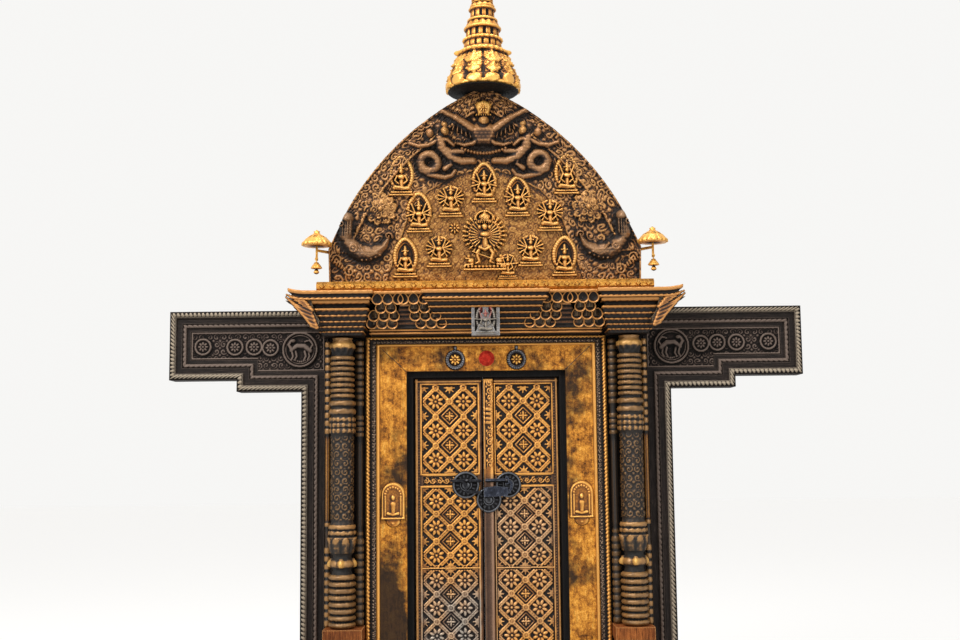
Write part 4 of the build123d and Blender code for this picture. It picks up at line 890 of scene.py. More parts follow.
# Scroll foliage outside the calmer middle field, which a thin rib bounds
RIB = ((0, 560), (140, 522), (275, 450), (345, 380), (385, 300), (470, 60), (485, 0))
calm_half = np.interp(-t.W, [-w for _, w in RIB], [u for u, _ in RIB])
calm = np.abs(t.U) < calm_half
warp_u = t.U + 16 * soft_noise(t.H.shape, 17, 31)
warp_w = t.W + 16 * soft_noise(t.H.shape, 17, 32)
foliage = np.maximum(scrolls(warp_u, warp_w, 50) ** 0.55,
                     0.7 * scrolls(warp_w + 11, warp_u + 19, 31) ** 0.7)
t.H += np.where(calm, 3.2 * scrolls(warp_u, warp_w, 31),
                np.where(rim, 13, 11) * foliage)
t.T += np.where(calm, 0.62, 0.16 * (1 + soft_noise(t.H.shape, 15, 35)))
for t.sign in (-1, 1):
    t.tube(RIB[1:-1], 4, 9)
for t.sign in (-1, 1):
    # Flower bosses: curling leaves over a dome
    t.tint = 0.3
    t.dome(BOSS_U, BOSS_W, 76, 36, power=0.6)
    for count, away, r in ((10, 58, 22), (6, 28, 20)):
        for k in range(count):
            angle = FULL * (k + 0.4 * (count % 4)) / count
            top = 36 * (1 - (away / 78) ** 2) ** 0.6 + 6
            x, z = polar(BOSS_U, BOSS_W, away, angle)
            t.dome(x, z, r, top - 5, rw=r * 0.8, turn=math.degrees(angle) + 35, base=top - 10)
            t.spiral(x, z, r * 0.95, 5.0, top + 2.0, start=math.degrees(angle), turns=1.15,
                     way=1 if k % 2 else -1, leaves=5)
    t.dome(BOSS_U, BOSS_W, 12, 52, base=34)
    # Makara: boat-shaped head and body with an upright scrolled trunk
    t.tint = -0.8
    t.plate([(722, 246), (706, 190), (670, 138), (622, 108), (562, 104), (510, 128), (472, 176),
             (454, 240), (482, 226), (508, 200), (556, 186), (602, 196), (636, 226), (640, 262)],
            54, bevel=34)
    t.tint = -0.95
    t.tube([(680, 236), (674, 280), (668, 318)], 38, 62, r1=32)
    t.dome(668, 322, 34, 78, rw=30)
    for i in range(4):
        t.tube([(654 + 12 * i, 240), (650 + 12 * i, 322)], 4.5, 70)
    t.spiral(694, 300, 22, 8, 76, start=80, turns=1.1, way=-1)
    t.tint = -0.4
    t.ring(640, 176, 17, 6, 62)
    t.dome(640, 176, 10, 64)
    t.tube([(606, 188), (582, 160), (540, 158)], 7, 62, r1=5)
    t.tube([(600, 150), (560, 136), (524, 150)], 6, 60, r1=4)
    for i in range(5):
        t.dome(588 - 14 * i, 150 + (i % 2) * 4, 5, 60)
        t.dome(600 - 22 * i, 118 + 3 * i * i * 0.5, 8, 50)
    t.spiral(470, 232, 20, 6, 44, start=200, turns=1.1, way=-1)
    t.tint = 0.1
    for i in range(7):
        t.tube([(748 - 10 * i, 150 - 12 * i), (764 - 12 * i, 122 - 9 * i)], 6, 26)
    t.spiral(726, 118, 26, 6, 24, start=30, turns=1.3, way=1, leaves=6)
    t.spiral(664, 60, 26, 6, 20, start=60, turns=1.3, way=-1, leaves=6)
    # Serpent folk: hooded figure, stretched arm, thick coil and tail
    t.tint = -0.45
    t.ring(266, 588, 40, 23, 40)
    t.tube([(312, 590), (304, 552), (266, 530), (226, 520), (190, 514), (156, 524), (140, 546)],
           22, 36, r1=9)
    t.tube([(190, 556), (160, 578), (166, 606)], 15, 34, r1=10)
    t.tube([(52, 592), (108, 590), (160, 612), (200, 652)], 19, 44, r1=27)
    t.tube([(104, 640), (158, 636), (206, 664)], 17, 38, r1=19)
    t.tint = -0.2
    t.tube([(204, 660), (212, 702)], 30, 48, r1=26)
    t.tube([(222, 694), (270, 670), (318, 666), (360, 680)], 15, 42, r1=10)
    t.tube([(214, 704), (176, 694), (146, 668)], 14, 44, r1=9)
    t.dome(214, 758, 34, 30, rw=30)
    for k in range(7):
        angle = math.radians(20 + 24 * k)
        t.dome(214 + 38 * math.cos(angle), 750 + 34 * math.sin(angle), 9, 34)
    t.tint = 0.3
    head(t, 190, 738, 22, 54)
    t.dome(190, 768, 18, 50, rw=15)
    t.tint = 0.0
    head(t, 262, 728, 22, 46)
    t.spiral(300, 756, 24, 7, 34, start=120, turns=1.2, way=-1, leaves=5)
    # Bird-man: wings, raised arms with bracelets
    t.tint = -0.3
    t.plate([(40, 770), (100, 800), (160, 832), (214, 846), (236, 836), (196, 806), (150, 770),
             (100, 730), (60, 716)], 24, bevel=12)
    for i in range(10):
        t.tube([(64 + 17 * i, 770 + 7 * i), (70 + 18 * i, 738 + 8 * i),
                (62 + 22 * i, 704 + 10 * i)], 7.5, 33 - i, r1=4)
    t.tube([(50, 742), (96, 776), (134, 800)], 24, 50, r1=20)
    t.tube([(134, 800), (172, 818), (206, 836)], 18, 46, r1=12)
    t.ring(206, 832, 9, 5, 44)
    t.tube([(120, 786), (130, 802)], 9, 52)
    t.tube([(214, 838), (246, 830), (270, 812), (300, 804)], 8, 36, r1=5)
    t.tube([(24, 700), (54, 676), (96, 668), (120, 676)], 15, 46, r1=8)
    for i in range(6):
        t.dome(92 + 9 * i, 664 + 3 * i, 6, 46)
t.sign = 1
t.tint = -0.15
t.plate([(-76, 756), (-34, 776), (34, 776), (76, 756), (62, 700), (36, 664), (-36, 664),
         (-62, 700)], 50, bevel=26)
for i in range(4):
    t.tube([(-34 + 5 * i, 744 - 14 * i), (0, 736 - 14 * i), (34 - 5 * i, 744 - 14 * i)], 3.5, 50)
for k in range(15):
    t.dome(-105 + 15 * k, 628 + 0.0022 * (-105 + 15 * k) ** 2, 9, 50)
t.tint = 0.3
head(t, 0, 786, 27, 60)
t.tint = 0.95
t.plate([(-30, 806), (30, 806), (42, 850), (34, 874), (0, 886), (-34, 874), (-42, 850)], 52,
        bevel=12)
t.flower(0, 846, 24, 60, base=44)
for k in range(7):
    t.dome(-33 + 11 * k, 812, 5, 58)
    t.dome(-36 + 12 * k, 872 - abs(3 - k) * 4, 5.5, 54)
t.tint = None
# Scales on the dark bodies
row = np.floor(t.W / 17)
across = t.U / 19 + 0.5 * (row % 2)
scale_r = np.hypot((across - np.floor(across) - 0.5) * 1.1, t.W / 17 - row - 0.85)
skin = (t.T < -0.12) & (t.H > 20)
t.H += np.where(skin, 4.2 * np.clip(1 - scale_r, 0, 1) - 1.6, 0)

edge = np.ones_like(t.H)
edge[-1] = 0
edge[:, 0] = edge[:, -1] = 0
grid_piece("tympanum_relief", on_tympanum(t.U, t.W, t.H * edge + 0.3),
           {"ridge": np.clip(0.15 + 0.85 * ridge_of(t.H, 4, 9) - 0.17 * skin, 0, 1), "tint": t.T},
           "frame", bronze,
           ("torana_rim", "bird_man", "serpents", "makara_left", "makara_right",
            "flower_bosses"))


def seated(c, armed, halo=True):
    """A seated figure on a lotus plinth, with a flaming halo or a fan of arms."""
    if halo:
        for k in range(72):
            angle = FULL * k / 72
            squeeze = 1 + 0.16 * max(0.0, math.sin(angle)) ** 6
            x, z = 52 * math.cos(angle), 12 + 74 * squeeze * math.sin(angle)
            if z > -62:
                c.dome(x, z, 12.5, 16 + 4 * (k % 2))
                c.dome(0.80 * x, 12 + 0.80 * (z - 12), 7.5, 12)
        c.dome(0, 97, 9, 20, rw=15)
        c.plate([(-44, -62), (44, -62), (48, 10), (34, 60), (0, 82), (-34, 60), (-48, 10)], 5,
                bevel=2)
    else:
        for k in range(30):
            angle = math.radians(-38 + 256 * k / 29)
            c.tube([(0, 4), polar(0, 6, 55, angle)], 6.5, 13, r1=5.0)
    c.plate([(-63, -92), (63, -92), (63, -78), (-63, -78)], 34, bevel=6)
    c.plate([(-50, -80), (50, -80), (50, -66), (-50, -66)], 27, bevel=4)
    for k in range(9):
        c.dome(-48 + 12 * k, -72, 6, 31, rw=7)
    c.tube([(-34, -52), (0, -58), (34, -52)], 12, 34)
    c.tube([(-30, -46), (10, -52)], 9, 38)
    c.tube([(0, -42), (0, -14)], 15, 30, r1=13)
    c.dome(0, 0, 23, 36, rw=16)
    head(c, 0, 28, 11.5, 36, face=False)
    c.tube([(0, 26), (0, 22)], 2.6, 40)
    c.tube([(0, 40), (0, 62)], 12, 32, r1=5)
    for k in range(5):
        c.dome(-14 + 7 * k, 44 - abs(2 - k) * 2, 4, 35)
    for s in (-1, 1):
        c.tube([(s * 20, 6), (s * 30, -16), (s * 12, -32)], 6, 36, r1=4.5)
        for k in range(armed):
            angle = math.radians(-62 + 128 * k / max(1, armed - 1))
            ex, ez = s * (16 + 22 * math.cos(angle)), 4 + 22 * math.sin(angle)
            hx, hz = s * (16 + 46 * math.cos(angle)), 6 + 46 * math.sin(angle)
            c.tube([(s * 16, 4), (ex, ez), (hx, hz)], 5.2, 25 + 5 * (k % 2), r1=4.6)
            c.dome(hx, hz, 6.4, 29)
    return c


def casting(name, u, w, size, wide, low, high, draw, replaces=(), step=2.4):
    """A casting fixed to the tympanum at (u, w), cut out round what draw makes."""
    c = Canvas(u - wide, u + wide, w + low, w + high, step)
    c.H += SUNK
    c.at = (u, w, size)
    draw(c)
    H, keep = c.cut_out(-1.0)
    # Low ground and back plates take the dark set: painted shade between the raised parts
    return grid_piece(name, on_tympanum(c.U, c.W, H + 2),
                      {"ridge": ridge_of(H, 3, 10), "tint": np.where(H < 7, -0.55, 0.0)},
                      "frame", deity_gold, replaces, keep=keep)


PLAQUES = ((-403, 518, 0, True), (403, 518, 2, True), (0, 480, 4, True), (-163, 411, 6, False),
           (163, 411, 5, True), (-320, 338, 4, True), (320, 338, 6, False),
           (-224, 167, 6, False), (224, 167, 6, False), (-390, 118, 1, True), (390, 118, 1, True))
for number, (u, w, armed, halo) in enumerate(PLAQUES):
    casting(f"deity_plaque_{number + 1}", u, w, 1.0, 66, -94, 108,
            lambda c: seated(c, armed, halo), ("deity_plaques",) if number == 0 else ())


def many_armed(c):
    """The large deity: fan of arms in two rows, tall crown, dancing legs over small figures."""
    c.plate([(-108, -180), (108, -180), (108, -164), (-108, -164)], 44, bevel=6)
    for k in range(12):
        c.dome(-99 + 18 * k, -158, 9, 40, rw=8)
    for s in (-1, 1):
        for k in range(11):
            angle = math.radians(-58 + 13.5 * k)
            for reach, high in ((96, 26), (74, 33)):
                turn = angle + (0.1 if reach < 90 else 0)
                ex, ez = s * 42 * math.cos(turn), -6 + 40 * math.sin(turn)
                hx, hz = s * reach * math.cos(turn), -2 + reach * 0.95 * math.sin(turn)
                c.tube([(s * 14, -4), (ex, ez), (hx * 1.08, hz * 1.08)], 8.5, high - 12, r1=9)
                c.tube([(s * 14, -4), (ex, ez), (hx, hz)], 6.4, high, r1=4.8)
                c.dome(hx, hz, 7.5, high + 3)
        c.tube([(s * 14, -58), (s * 40, -92), (s * 26, -134)], 14, 40, r1=9)
        c.tube([(s * 26, -134), (s * 44, -142)], 8, 36, r1=5)
        c.dome(s * 70, -132, 20, 32, rw=16)
        c.dome(s * 78, -108, 10, 34)
        c.tube([(s * 58, -124), (s * 92, -118)], 6, 30)
        c.tube([(s * 60, -146), (s * 96, -150)], 7, 32)
    c.tube([(0, -62), (0, -20)], 24, 44, r1=20)
    c.dome(0, -2, 32, 50, rw=20)
    c.tube([(-24, -64), (0, -74), (24, -64)], 12, 46)
    c.tube([(-60, -84), (40, -122)], 4, 46)
    for k in range(9):
        c.dome(-24 + 6 * k, -16 - 5 * math.sin(math.pi * k / 8), 3.4, 50)
    head(c, 0, 36, 19, 50)
    for s in (-1, 1):
        head(c, s * 24, 34, 13, 42, face=False)
    c.plate([(-30, 54), (30, 54), (24, 92), (0, 112), (-24, 92)], 44, bevel=10)
    for k in range(7):
        c.dome(-30 + 10 * k, 58, 5, 50)
        c.dome(-22 + 7.3 * k, 82 + 8 * (k % 2), 5, 48)
    c.flower(0, 74, 14, 54, base=38)
    for k in range(24):
        angle = math.radians(10 + 160 * k / 23)
        c.dome(48 * math.cos(angle), 62 + 50 * math.sin(angle), 6.5, 24 + 3 * (k % 2))


casting("deity_large", 0, 238, 1.0, 116, -184, 124, many_armed, ("central_deity",), step=2.6)
casting("attendant", 112, 88, 0.8, 56, -82, 62, lambda c: seated(c, 3, False))
casting("small_flower", -146, 268, 1.0, 34, -34, 34,
        lambda c: (c.dome(0, 0, 28, 14), c.flower(0, 0, 30, 24)))


# Columns and slim shafts
COLUMN_X, COLUMN_Y = 706, -108
INNER_X, INNER_Y = 630, -38
OUTER_X, OUTER_Y = 782, -62
COLUMN = ([(578, 50)] + wave(580, 836, 8, 47, 66)
          + [(842, 48), (852, 43), (862, 46), (870, 56), (880, 60), (892, 58), (902, 50), (912, 44),
             (925, 46), (936, 55), (960, 60), (990, 62), (1008, 65), (1014, 57)]
          + wave(1016, 1072, 2, 56, 66)
          + [(1076, 55), (1085, 53), (1500, 53), (1506, 56)] + wave(1508, 1590, 3, 57, 64)
          + wave(1596, 1634, 1, 52, 66) + wave(1638, 1670, 1, 52, 66) + wave(1678, 1890, 8, 44, 59)
          + [(1894, 50), (1902, 45), (1915, 52), (1930, 60), (1945, 60), (1958, 50), (1966, 46),
             (1976, 51), (1981, 52)])


def column_detail(Z, A, R):
    carved = 7.0 * scrolls(A / FULL * 8 * 42, Z, 42) - 2.5
    add = np.where(between(Z, 1092, 1496), carved, 0)
    add = add + np.where(between(Z, 580, 836) | between(Z, 1678, 1890),
                         1.3 * np.cos(A * 26) * (np.sin(Z / 9.5) > -0.3), 0)
    add = add + petals(A, Z, 936, 1010, 8, 8) + petals(A, Z, 1016, 1046, 12, 3)
    add = add + petals(A, Z, 1898, 1950, 10, 6, down=True)
    add = add + np.where(between(Z, 862, 908), 13 * np.clip(np.cos(4 * A), 0, 1) ** 4, 0)
    add = add + np.where(between(Z, 1508, 1590), 1.2 * np.sign(np.cos(A * 14)), 0)
    return add + 1.6 * soft_noise(Z.shape, 2, 71)


def column_tint(Z, A, R):
    gold = np.where(between(Z, 866, 900), np.clip(np.cos(4 * A), 0, 1), 0)
    gold = gold + np.where(between(Z, 1925, 1950), 0.4, 0)
    dusk = 0.38 + 0.25 * soft_noise(Z.shape, 3, 72)
    gold = gold - np.where(between(Z, 578, 842) | between(Z, 1590, 1892), dusk, 0)
    gold = gold - np.where(between(Z, 1085, 1500), 0.55, 0)
    return gold - np.where(between(Z, 1895, 1924), 0.6, 0)


INNER = ([(578, 18)] + wave(580, 1000, 12, 19, 24, 4) + [(1008, 17), (1020, 20), (1040, 16)]
         + [(1060, 17), (1480, 17)] + wave(1490, 1600, 4, 18, 23, 4) + [(1606, 17)]
         + wave(1640, 1975, 10, 18, 23, 4))
OUTER = ([(578, 12)] + wave(580, 960, 10, 13, 16, 4) + [(980, 12), (1050, 12)]
         + wave(1052, 1080, 1, 12, 15, 4) + [(1500, 12)] + wave(1502, 1970, 12, 12, 16, 4))

for side, label in SIDES:
    lathe("column_carved_" + label, side * COLUMN_X, COLUMN_Y, COLUMN, 72, 5.5, column_detail,
          "frame", column_wood, ("main_column_" + label,), gain=9.0,
          tint=column_tint)
    lathe("inner_shaft_" + label, side * INNER_X, INNER_Y, INNER, 24, 9,
          lambda Z, A, R: 0.8 * np.cos(A * 8) * between(Z, 1060, 1480), "frame", column_wood,
          ("slim_shafts_" + label,), size=2,
          tint=lambda Z, A, R: np.full_like(Z, -0.75))
    lathe("outer_shaft_" + label, side * OUTER_X, OUTER_Y, OUTER, 20, 9,
          lambda Z, A, R: 0.6 * np.cos(A * 6) * between(Z, 1080, 1500), "frame", column_wood,
          size=2, gain=3.5,
          tint=lambda Z, A, R: 0.75 * between(Z, 1080, 1500))

# Finial: skirt of hanging leaves, scalloped rims and small colonnades
FINIAL_Y = TYMPANUM_Y - 946 * math.sin(LEAN) + 8
FINIAL_REACH = 183.5       # The solid skirt's half depth
SPIRE = ([(3146, 168), (3151, 180), (3166, 179), (3196, 166), (3225, 156), (3258, 148),
          (3288, 128), (3312, 114), (3328, 102)] + wave(3330, 3354, 1, 98, 112)
         + [(3360, 92), (3378, 92), (3392, 88)] + wave(3393, 3410, 1, 88, 97)
         + [(3414, 82), (3450, 80)] + wave(3451, 3468, 1, 82, 92)
         + [(3474, 78), (3490, 68)] + wave(3492, 3509, 1, 66, 75) + [(3513, 60), (3550, 58)]
         + wave(3551, 3564, 1, 58, 68) + [(3572, 58), (3584, 50)] + wave(3586, 3612, 2, 46, 53)
         + [(3620, 38), (3640, 30)] + wave(3642, 3660, 1, 30, 38)
         + [(3676, 18), (3700, 10), (3716, 3)])


def finial_detail(Z, A, R):
    add = petals(A, Z, 3148, 3222, 12, 24, down=True)
    add = np.maximum(add, petals(A, Z, 3200, 3276, 10, 24, shift=0.5, down=True))
    add = np.maximum(add, petals(A, Z, 3254, 3330, 8, 24, down=True)) - 14 * between(Z, 3148, 3330)
    curl = scrolls(A / FULL * 24 * 34, Z + 6 * np.cos(A * 12), 34)
    add = add + np.where(between(Z, 3152, 3326), 7.0 * curl, 0)
    add = add + 22 * np.clip(np.cos(4 * A + math.pi), 0, 1) ** 8 * between(Z, 3150, 3200)
    add = add + 26 * np.clip(np.cos(2 * A), 0, 1) ** 14 * between(Z, 3300, 3352)
    add = add - np.where(between(Z, 3360, 3390), 12 * (np.cos(A * 16) > 0.35), 0)
    add = add - np.where(between(Z, 3416, 3448), 12 * (np.cos(A * 13) > 0.2), 0)
    add = add - np.where(between(Z, 3515, 3548), 11 * (np.cos(A * 11) > 0.2), 0)
    add = add + petals(A, Z, 3468, 3492, 14, 6) + petals(A, Z, 3564, 3586, 12, 5)
    add = add + np.where(between(Z, 3331, 3353), 3.0 * np.cos(A * 22), 0)
    add = add + np.where(between(Z, 3393, 3410), 3.5 * np.cos(A * 24), 0)
    return np.minimum(add, FINIAL_REACH - R)


def finial_tint(Z, A, R):
    shade = np.where(Z < 3148, -1.0, 0.0)
    shade = np.where(between(Z, 3416, 3448) & (np.cos(A * 13) > 0.2), -1.0, shade)
    return np.where(between(Z, 3515, 3548) & (np.cos(A * 11) > 0.2), -1.0, shade)


# A near-black disc closes the skirt from below: painted shade under the finial
UNDERSIDE = [(3139, 20), (3140, 150), (3142, 168), (3145, 172), (3148, 166)]
lathe("finial_underside", 0, FINIAL_Y, UNDERSIDE, 90, 3, lambda Z, A, R: 0.8 * np.cos(A * 24),
      "frame", painted_shade_wood, size=2, gain=2.0)
lathe("finial_carved", 0, FINIAL_Y, SPIRE, 160, 4, finial_detail, "frame", bright_gold,
      ("finial_skirt", "finial_spire"), size=4, gain=13.0, tint=finial_tint)

# Parasols and pendants
PARASOL_X, PARASOL_Y, PENDANT_Y = 815, -255, -265.5
PARASOL = ([(2350, 5), (2412, 5), (2413, 62), (2416, 70), (2424, 70), (2434, 64), (2448, 52),
            (2462, 34), (2472, 18), (2480, 13), (2484, 16), (2488, 8), (2492, 3)])
BELL = ([(2273, 3), (2278, 10), (2284, 13), (2292, 8), (2300, 6), (2301, 25), (2304, 27),
         (2312, 22), (2322, 15), (2328, 7), (2333, 3.5), (2337, 3)])
for side, label in SIDES:
    lathe("parasol_canopy_" + label, side * PARASOL_X, PARASOL_Y, PARASOL, 64, 4,
          lambda Z, A, R: np.where(Z < 2430, 3.5 * np.abs(np.cos(A * 8)) * (R > 20), 0)
          + 1.6 * np.cos(A * 16) * (R > 20), "frame", bright_gold, size=2)
    lathe("pendant_bell_" + label, side * PARASOL_X, PENDANT_Y, BELL, 28, 3,
          lambda Z, A, R: 1.2 * np.cos(A * 10) * (R > 8), "pendant_" + label, bright_gold,
          size=2, gain=3.0)


def outset(path, away):
    """A mitred parallel of an open polyline, to the left of its run for a positive distance."""
    normals = []
    for (a0, b0), (a1, b1) in zip(path, path[1:]):
        long = math.hypot(a1 - a0, b1 - b0)
        normals.append((-(b1 - b0) / long, (a1 - a0) / long))
    result = []
    for i, (a, b) in enumerate(path):
        n0, n1 = normals[max(i - 1, 0)], normals[min(i, len(normals) - 1)]
        share = 1 + n0[0] * n1[0] + n0[1] * n1[1]
        result.append((a + away * (n0[0] + n1[0]) / share, b + away * (n0[1] + n1[1]) / share))
    return result


def band(name, inner, outer, profile, step, place, material, replaces=(), detail=None,
         size=2, gain=5.0, out=False, tint=None):
    """A moulding along two polylines: the profile gives (share from inner to outer, rise).

    detail(run, share, rise) adds carving to the rise, or outwards where out is set, and place
    turns the two plan coordinates and the rise into x, y and z.
    """
    a, b, c, d, run, far = [], [], [], [], [], 0.0
    for k in range(len(inner) - 1):
        (a0, b0), (a1, b1), (c0, d0), (c1, d1) = inner[k], inner[k + 1], outer[k], outer[k + 1]
        long = math.hypot(a1 - a0, b1 - b0)
        count = max(1, int(round(long / step)))
        last = 1 if k == len(inner) - 2 else 0
        share = np.arange(count + last) / count
        a += list(a0 + (a1 - a0) * share)
        b += list(b0 + (b1 - b0) * share)
        c += list(c0 + (c1 - c0) * share)
        d += list(d0 + (d1 - d0) * share)
        run += list(far + long * share)
        far += long
    share, rise = (np.array(v)[:, None] for v in zip(*profile))
    a, b, c, d = (np.array(v)[None, :] for v in (a, b, c, d))
    S = np.repeat(np.array(run)[None, :], len(share), axis=0)
    T = np.repeat(share, S.shape[1], axis=1)
    H = np.repeat(rise.astype(float), S.shape[1], axis=1)
    more = detail(S, T, H) if detail else np.zeros_like(H)
    wide = math.hypot(outer[1][0] - inner[1][0], outer[1][1] - inner[1][1]) / math.sqrt(2)
    if out:
        T = T + more / max(wide, 1.0)
    else:
        H = H + more
    measure = T * wide if out else H
    values = {"ridge": ridge_of(measure, size, gain),
              "tint": tint(S, T, H) if tint else np.zeros_like(H)}
    points = np.stack(place(a + (c - a) * T, b + (d - b) * T, H), axis=-1)
    parts = [sheet_data(points, values, way="out" if out else "front")]
    return piece_of(name, parts, "frame", material, replaces)


def lips(levels):
    """Bowl-like tiers between levels of (share, height): a thin lip over a hollow."""
    deep = 0.05
    points = []
    for (s0, z0), (s1, z1) in zip(levels, levels[1:]):
        rise = z1 - z0
        points += [(s0, z0), (s0 + 0.1 * (s1 - s0), z0 + 0.18 * rise),
                   (s0 + 0.35 * (s1 - s0), z0 + 0.42 * rise), (s1 - deep, z0 + 0.62 * rise),
                   (s1 + 0.5 * deep, z0 + 0.7 * rise), (s1 + deep, z0 + 0.8 * rise),
                   (s1 + 0.4 * deep, z0 + 0.94 * rise), (s1 - deep, z1)]
    return points


def plan(a, b, h):
    """Place of a band that lies in plan, with its rise as the height."""
    return np.broadcast_arrays(a, b, h)


def facing(front):
    """Place of a band on an upright face, with its rise towards the viewer."""
    return lambda a, b, h: np.broadcast_arrays(a, front - h, b)


BACK = -14          # Back of the capitals and the cornice
TOP = 2147          # Top of what carries the cornice


def wrapped(x0, x1, front, side=1):
    """The plan of a block's three carved sides, from its back round its front."""
    return [(side * x0, BACK), (side * x0, front), (side * x1, front), (side * x1, BACK)]


def cuts(pitch, high=2.0, top=FAR):
    """Fine upright cuts, shifted from tier to tier, up to a height."""
    return lambda S, T, H: high * np.cos(S / pitch + 1.3 * np.floor(H / 9)) * (H < top)


CAPITAL_LEVELS = ((0.0, 1984), (0.14, 2004), (0.32, 2028), (0.52, 2052), (0.72, 2080),
                  (0.9, 2110))
for side, label in SIDES:
    profile = lips(CAPITAL_LEVELS) + [(0.62, 2113), (0.56, 2120), (0.62, 2128), (0.92, 2132),
                                      (1.0, 2136), (1.0, TOP)]
    band("capital_carved_" + label, wrapped(603, 795, -184, side), wrapped(562, 860, -258, side),
         profile, 8, plan, lipped, ("capital_" + label,), out=True, size=3,
         gain=9.0, detail=cuts(3.4, 2.2, 2140))

band("middle_tiers", wrapped(-214, 214, -150), wrapped(-288, 288, -258),
     lips(((0.0, 2018), (0.14, 2040), (0.32, 2066), (0.56, 2092), (0.82, 2120), (1.0, TOP))),
     8, plan, lipped, out=True, size=3, gain=9.0, detail=cuts(3.6))
LOWER = wrapped(-560, 560, -128)
band("lower_boards", LOWER, outset(LOWER, -14.0),
     [(0, 1990), (0.6, 1992), (0.9, 1996), (0.6, 2001), (0.1, 2003), (0.1, 2005), (0.8, 2008),
      (1.0, 2012), (0.8, 2017), (0, 2018)], 10, plan, lipped,
     ("middle_block",), out=True, size=2, gain=7.0)
for side, label in SIDES:
    steps = []
    for i in range(6):
        share, foot = i / 6, 2018 + i * 21
        steps += [(share, foot), (share + 0.02, foot + 13), (share - 0.05, foot + 15)]
    band("stepped_bracket_" + label, wrapped(310, 458, -150, side), wrapped(362, 406, -226, side),
         steps + [(0.9, TOP)], 8, plan, lipped,
         ("stepped_brackets",) if side < 0 else (), out=True, gain=7.0)


def upturn(x):
    """Rise of the cornice towards its tips."""
    return 14 * np.clip((np.abs(x) - 860) / 95, 0, 1) ** 2


CORNICE = [(-936, BACK), (-936, -276), (-556, -276), (-556, -226), (-296, -226), (-296, -276),
           (296, -276), (296, -226), (556, -226), (556, -276), (936, -276), (936, BACK)]
band("cornice_carved", CORNICE, outset(CORNICE, -14.0),
     [(-1.2, 2148), (0.2, 2148), (0.5, 2152), (0.2, 2158), (-0.3, 2162), (-0.2, 2170), (0.4, 2174),
      (0.9, 2177), (0.9, 2184), (1.0, 2188), (0.8, 2193), (-1.0, 2194), (-8.0, 2194)],
     8, lambda a, b, h: plan(a, b, h + upturn(a)), lipped, ("cornice_board",),
     out=True, gain=7.0,
     detail=lambda S, T, H: (2.6 * np.cos(S / 4.2) * (T > 0.0) * (H < 2168)
                             + 1.8 * np.cos(S / 6.1) * (T > 0.7)))


def lid(x0, x1, y0, y1, z, up):
    """A flat board face that closes a tier from above or below, a little uneven."""
    X, Y = np.meshgrid(np.linspace(x0, x1, max(3, int((x1 - x0) / 40))), np.linspace(y0, y1, 7))
    Z = z + 0.4 * soft_noise(X.shape, 2, int(z)) + upturn(X)
    return sheet_data(np.stack((X, Y, Z), axis=-1), {"ridge": np.full_like(X, 0.4)},
                      way="up" if up else "down")


lids = []
LID_BACK = BACK - 1
for x0, x1, y0 in ((-934, -556, -274), (-556, -296, -224), (-296, 296, -274), (296, 556, -224),
                   (556, 934, -274)):
    lids += [lid(x0, x1, y0, LID_BACK, 2193.2, True), lid(x0, x1, y0, LID_BACK, 2149.0, False)]
for x0, x1, y0, z in ((-794, -604, -183, 1984.6), (604, 794, -183, 1984.6),
                      (-559, 559, -127, 1990.6), (-214, 214, -149, 2018.6),
                      (-457, -311, -149, 2018.6), (311, 457, -149, 2018.6)):
    lids.append(lid(x0, x1, y0, LID_BACK, z, False))
X, Z = np.meshgrid(np.linspace(-934, 934, 48), np.linspace(2149, 2193, 5))
lids.append(sheet_data(np.stack((X, np.full_like(X, LID_BACK), Z), axis=-1),
                       {"ridge": np.full_like(X, 0.4)}, way="back"))
piece_of("cornice_lids", lids, "frame", timber_across)

# Bearer between the lintel and the cornice, in near-black: painted shade behind the brackets
band("cornice_bearer", [(-890, -6), (890, -6)], [(-890, -13.5), (890, -13.5)],
     [(0, 2125.3), (0.8, 2126), (1, 2128), (1, 2155), (0.8, 2157), (0, 2158)], 40, plan, painted_shade_wood,
     out=True)

# Lotus cups: hollow pointed shells, with painted shade inside and painted highlight on the rims
cups = []
CUP_TILT = math.radians(28)
for side, _ in SIDES:
    for middle, lean in ((506, -14), (266, 34)):
        for row, (count, y, z) in enumerate(((3, -160, 2040), (3, -186, 2074), (2, -212, 2110),
                                             (3, -240, 2150))):
            for i in range(count):
                x = side * (middle + (i - (count - 1) / 2) * 50 + lean * row * 0.8)
                R, A = rings(np.linspace(0.02, 1, 9), 25)
                wide = 27 * R * (1 + 0.3 * np.clip(np.sin(A), 0, 1) ** 5)
                deep = np.where(R < 0.86, -16 * (1 - R ** 2), 7 * np.sin((R - 0.86) / 0.14 * 2.6))
                u, v = wide * np.cos(A), wide * np.sin(A)
                ct, st = math.cos(CUP_TILT), math.sin(CUP_TILT)
                points = np.stack((x + u, y - 10 - deep * ct - v * st * 0.6,
                                   z + v * ct - deep * st), axis=-1)
                shade = np.where(R > 0.8, 0.95, 0.12 + 0.12 * R)
                cups.append(sheet_data(points, {"ridge": shade, "tint": np.zeros_like(R)},
                                       closed=True))
piece_of("lotus_cups", cups, "frame", lipped)

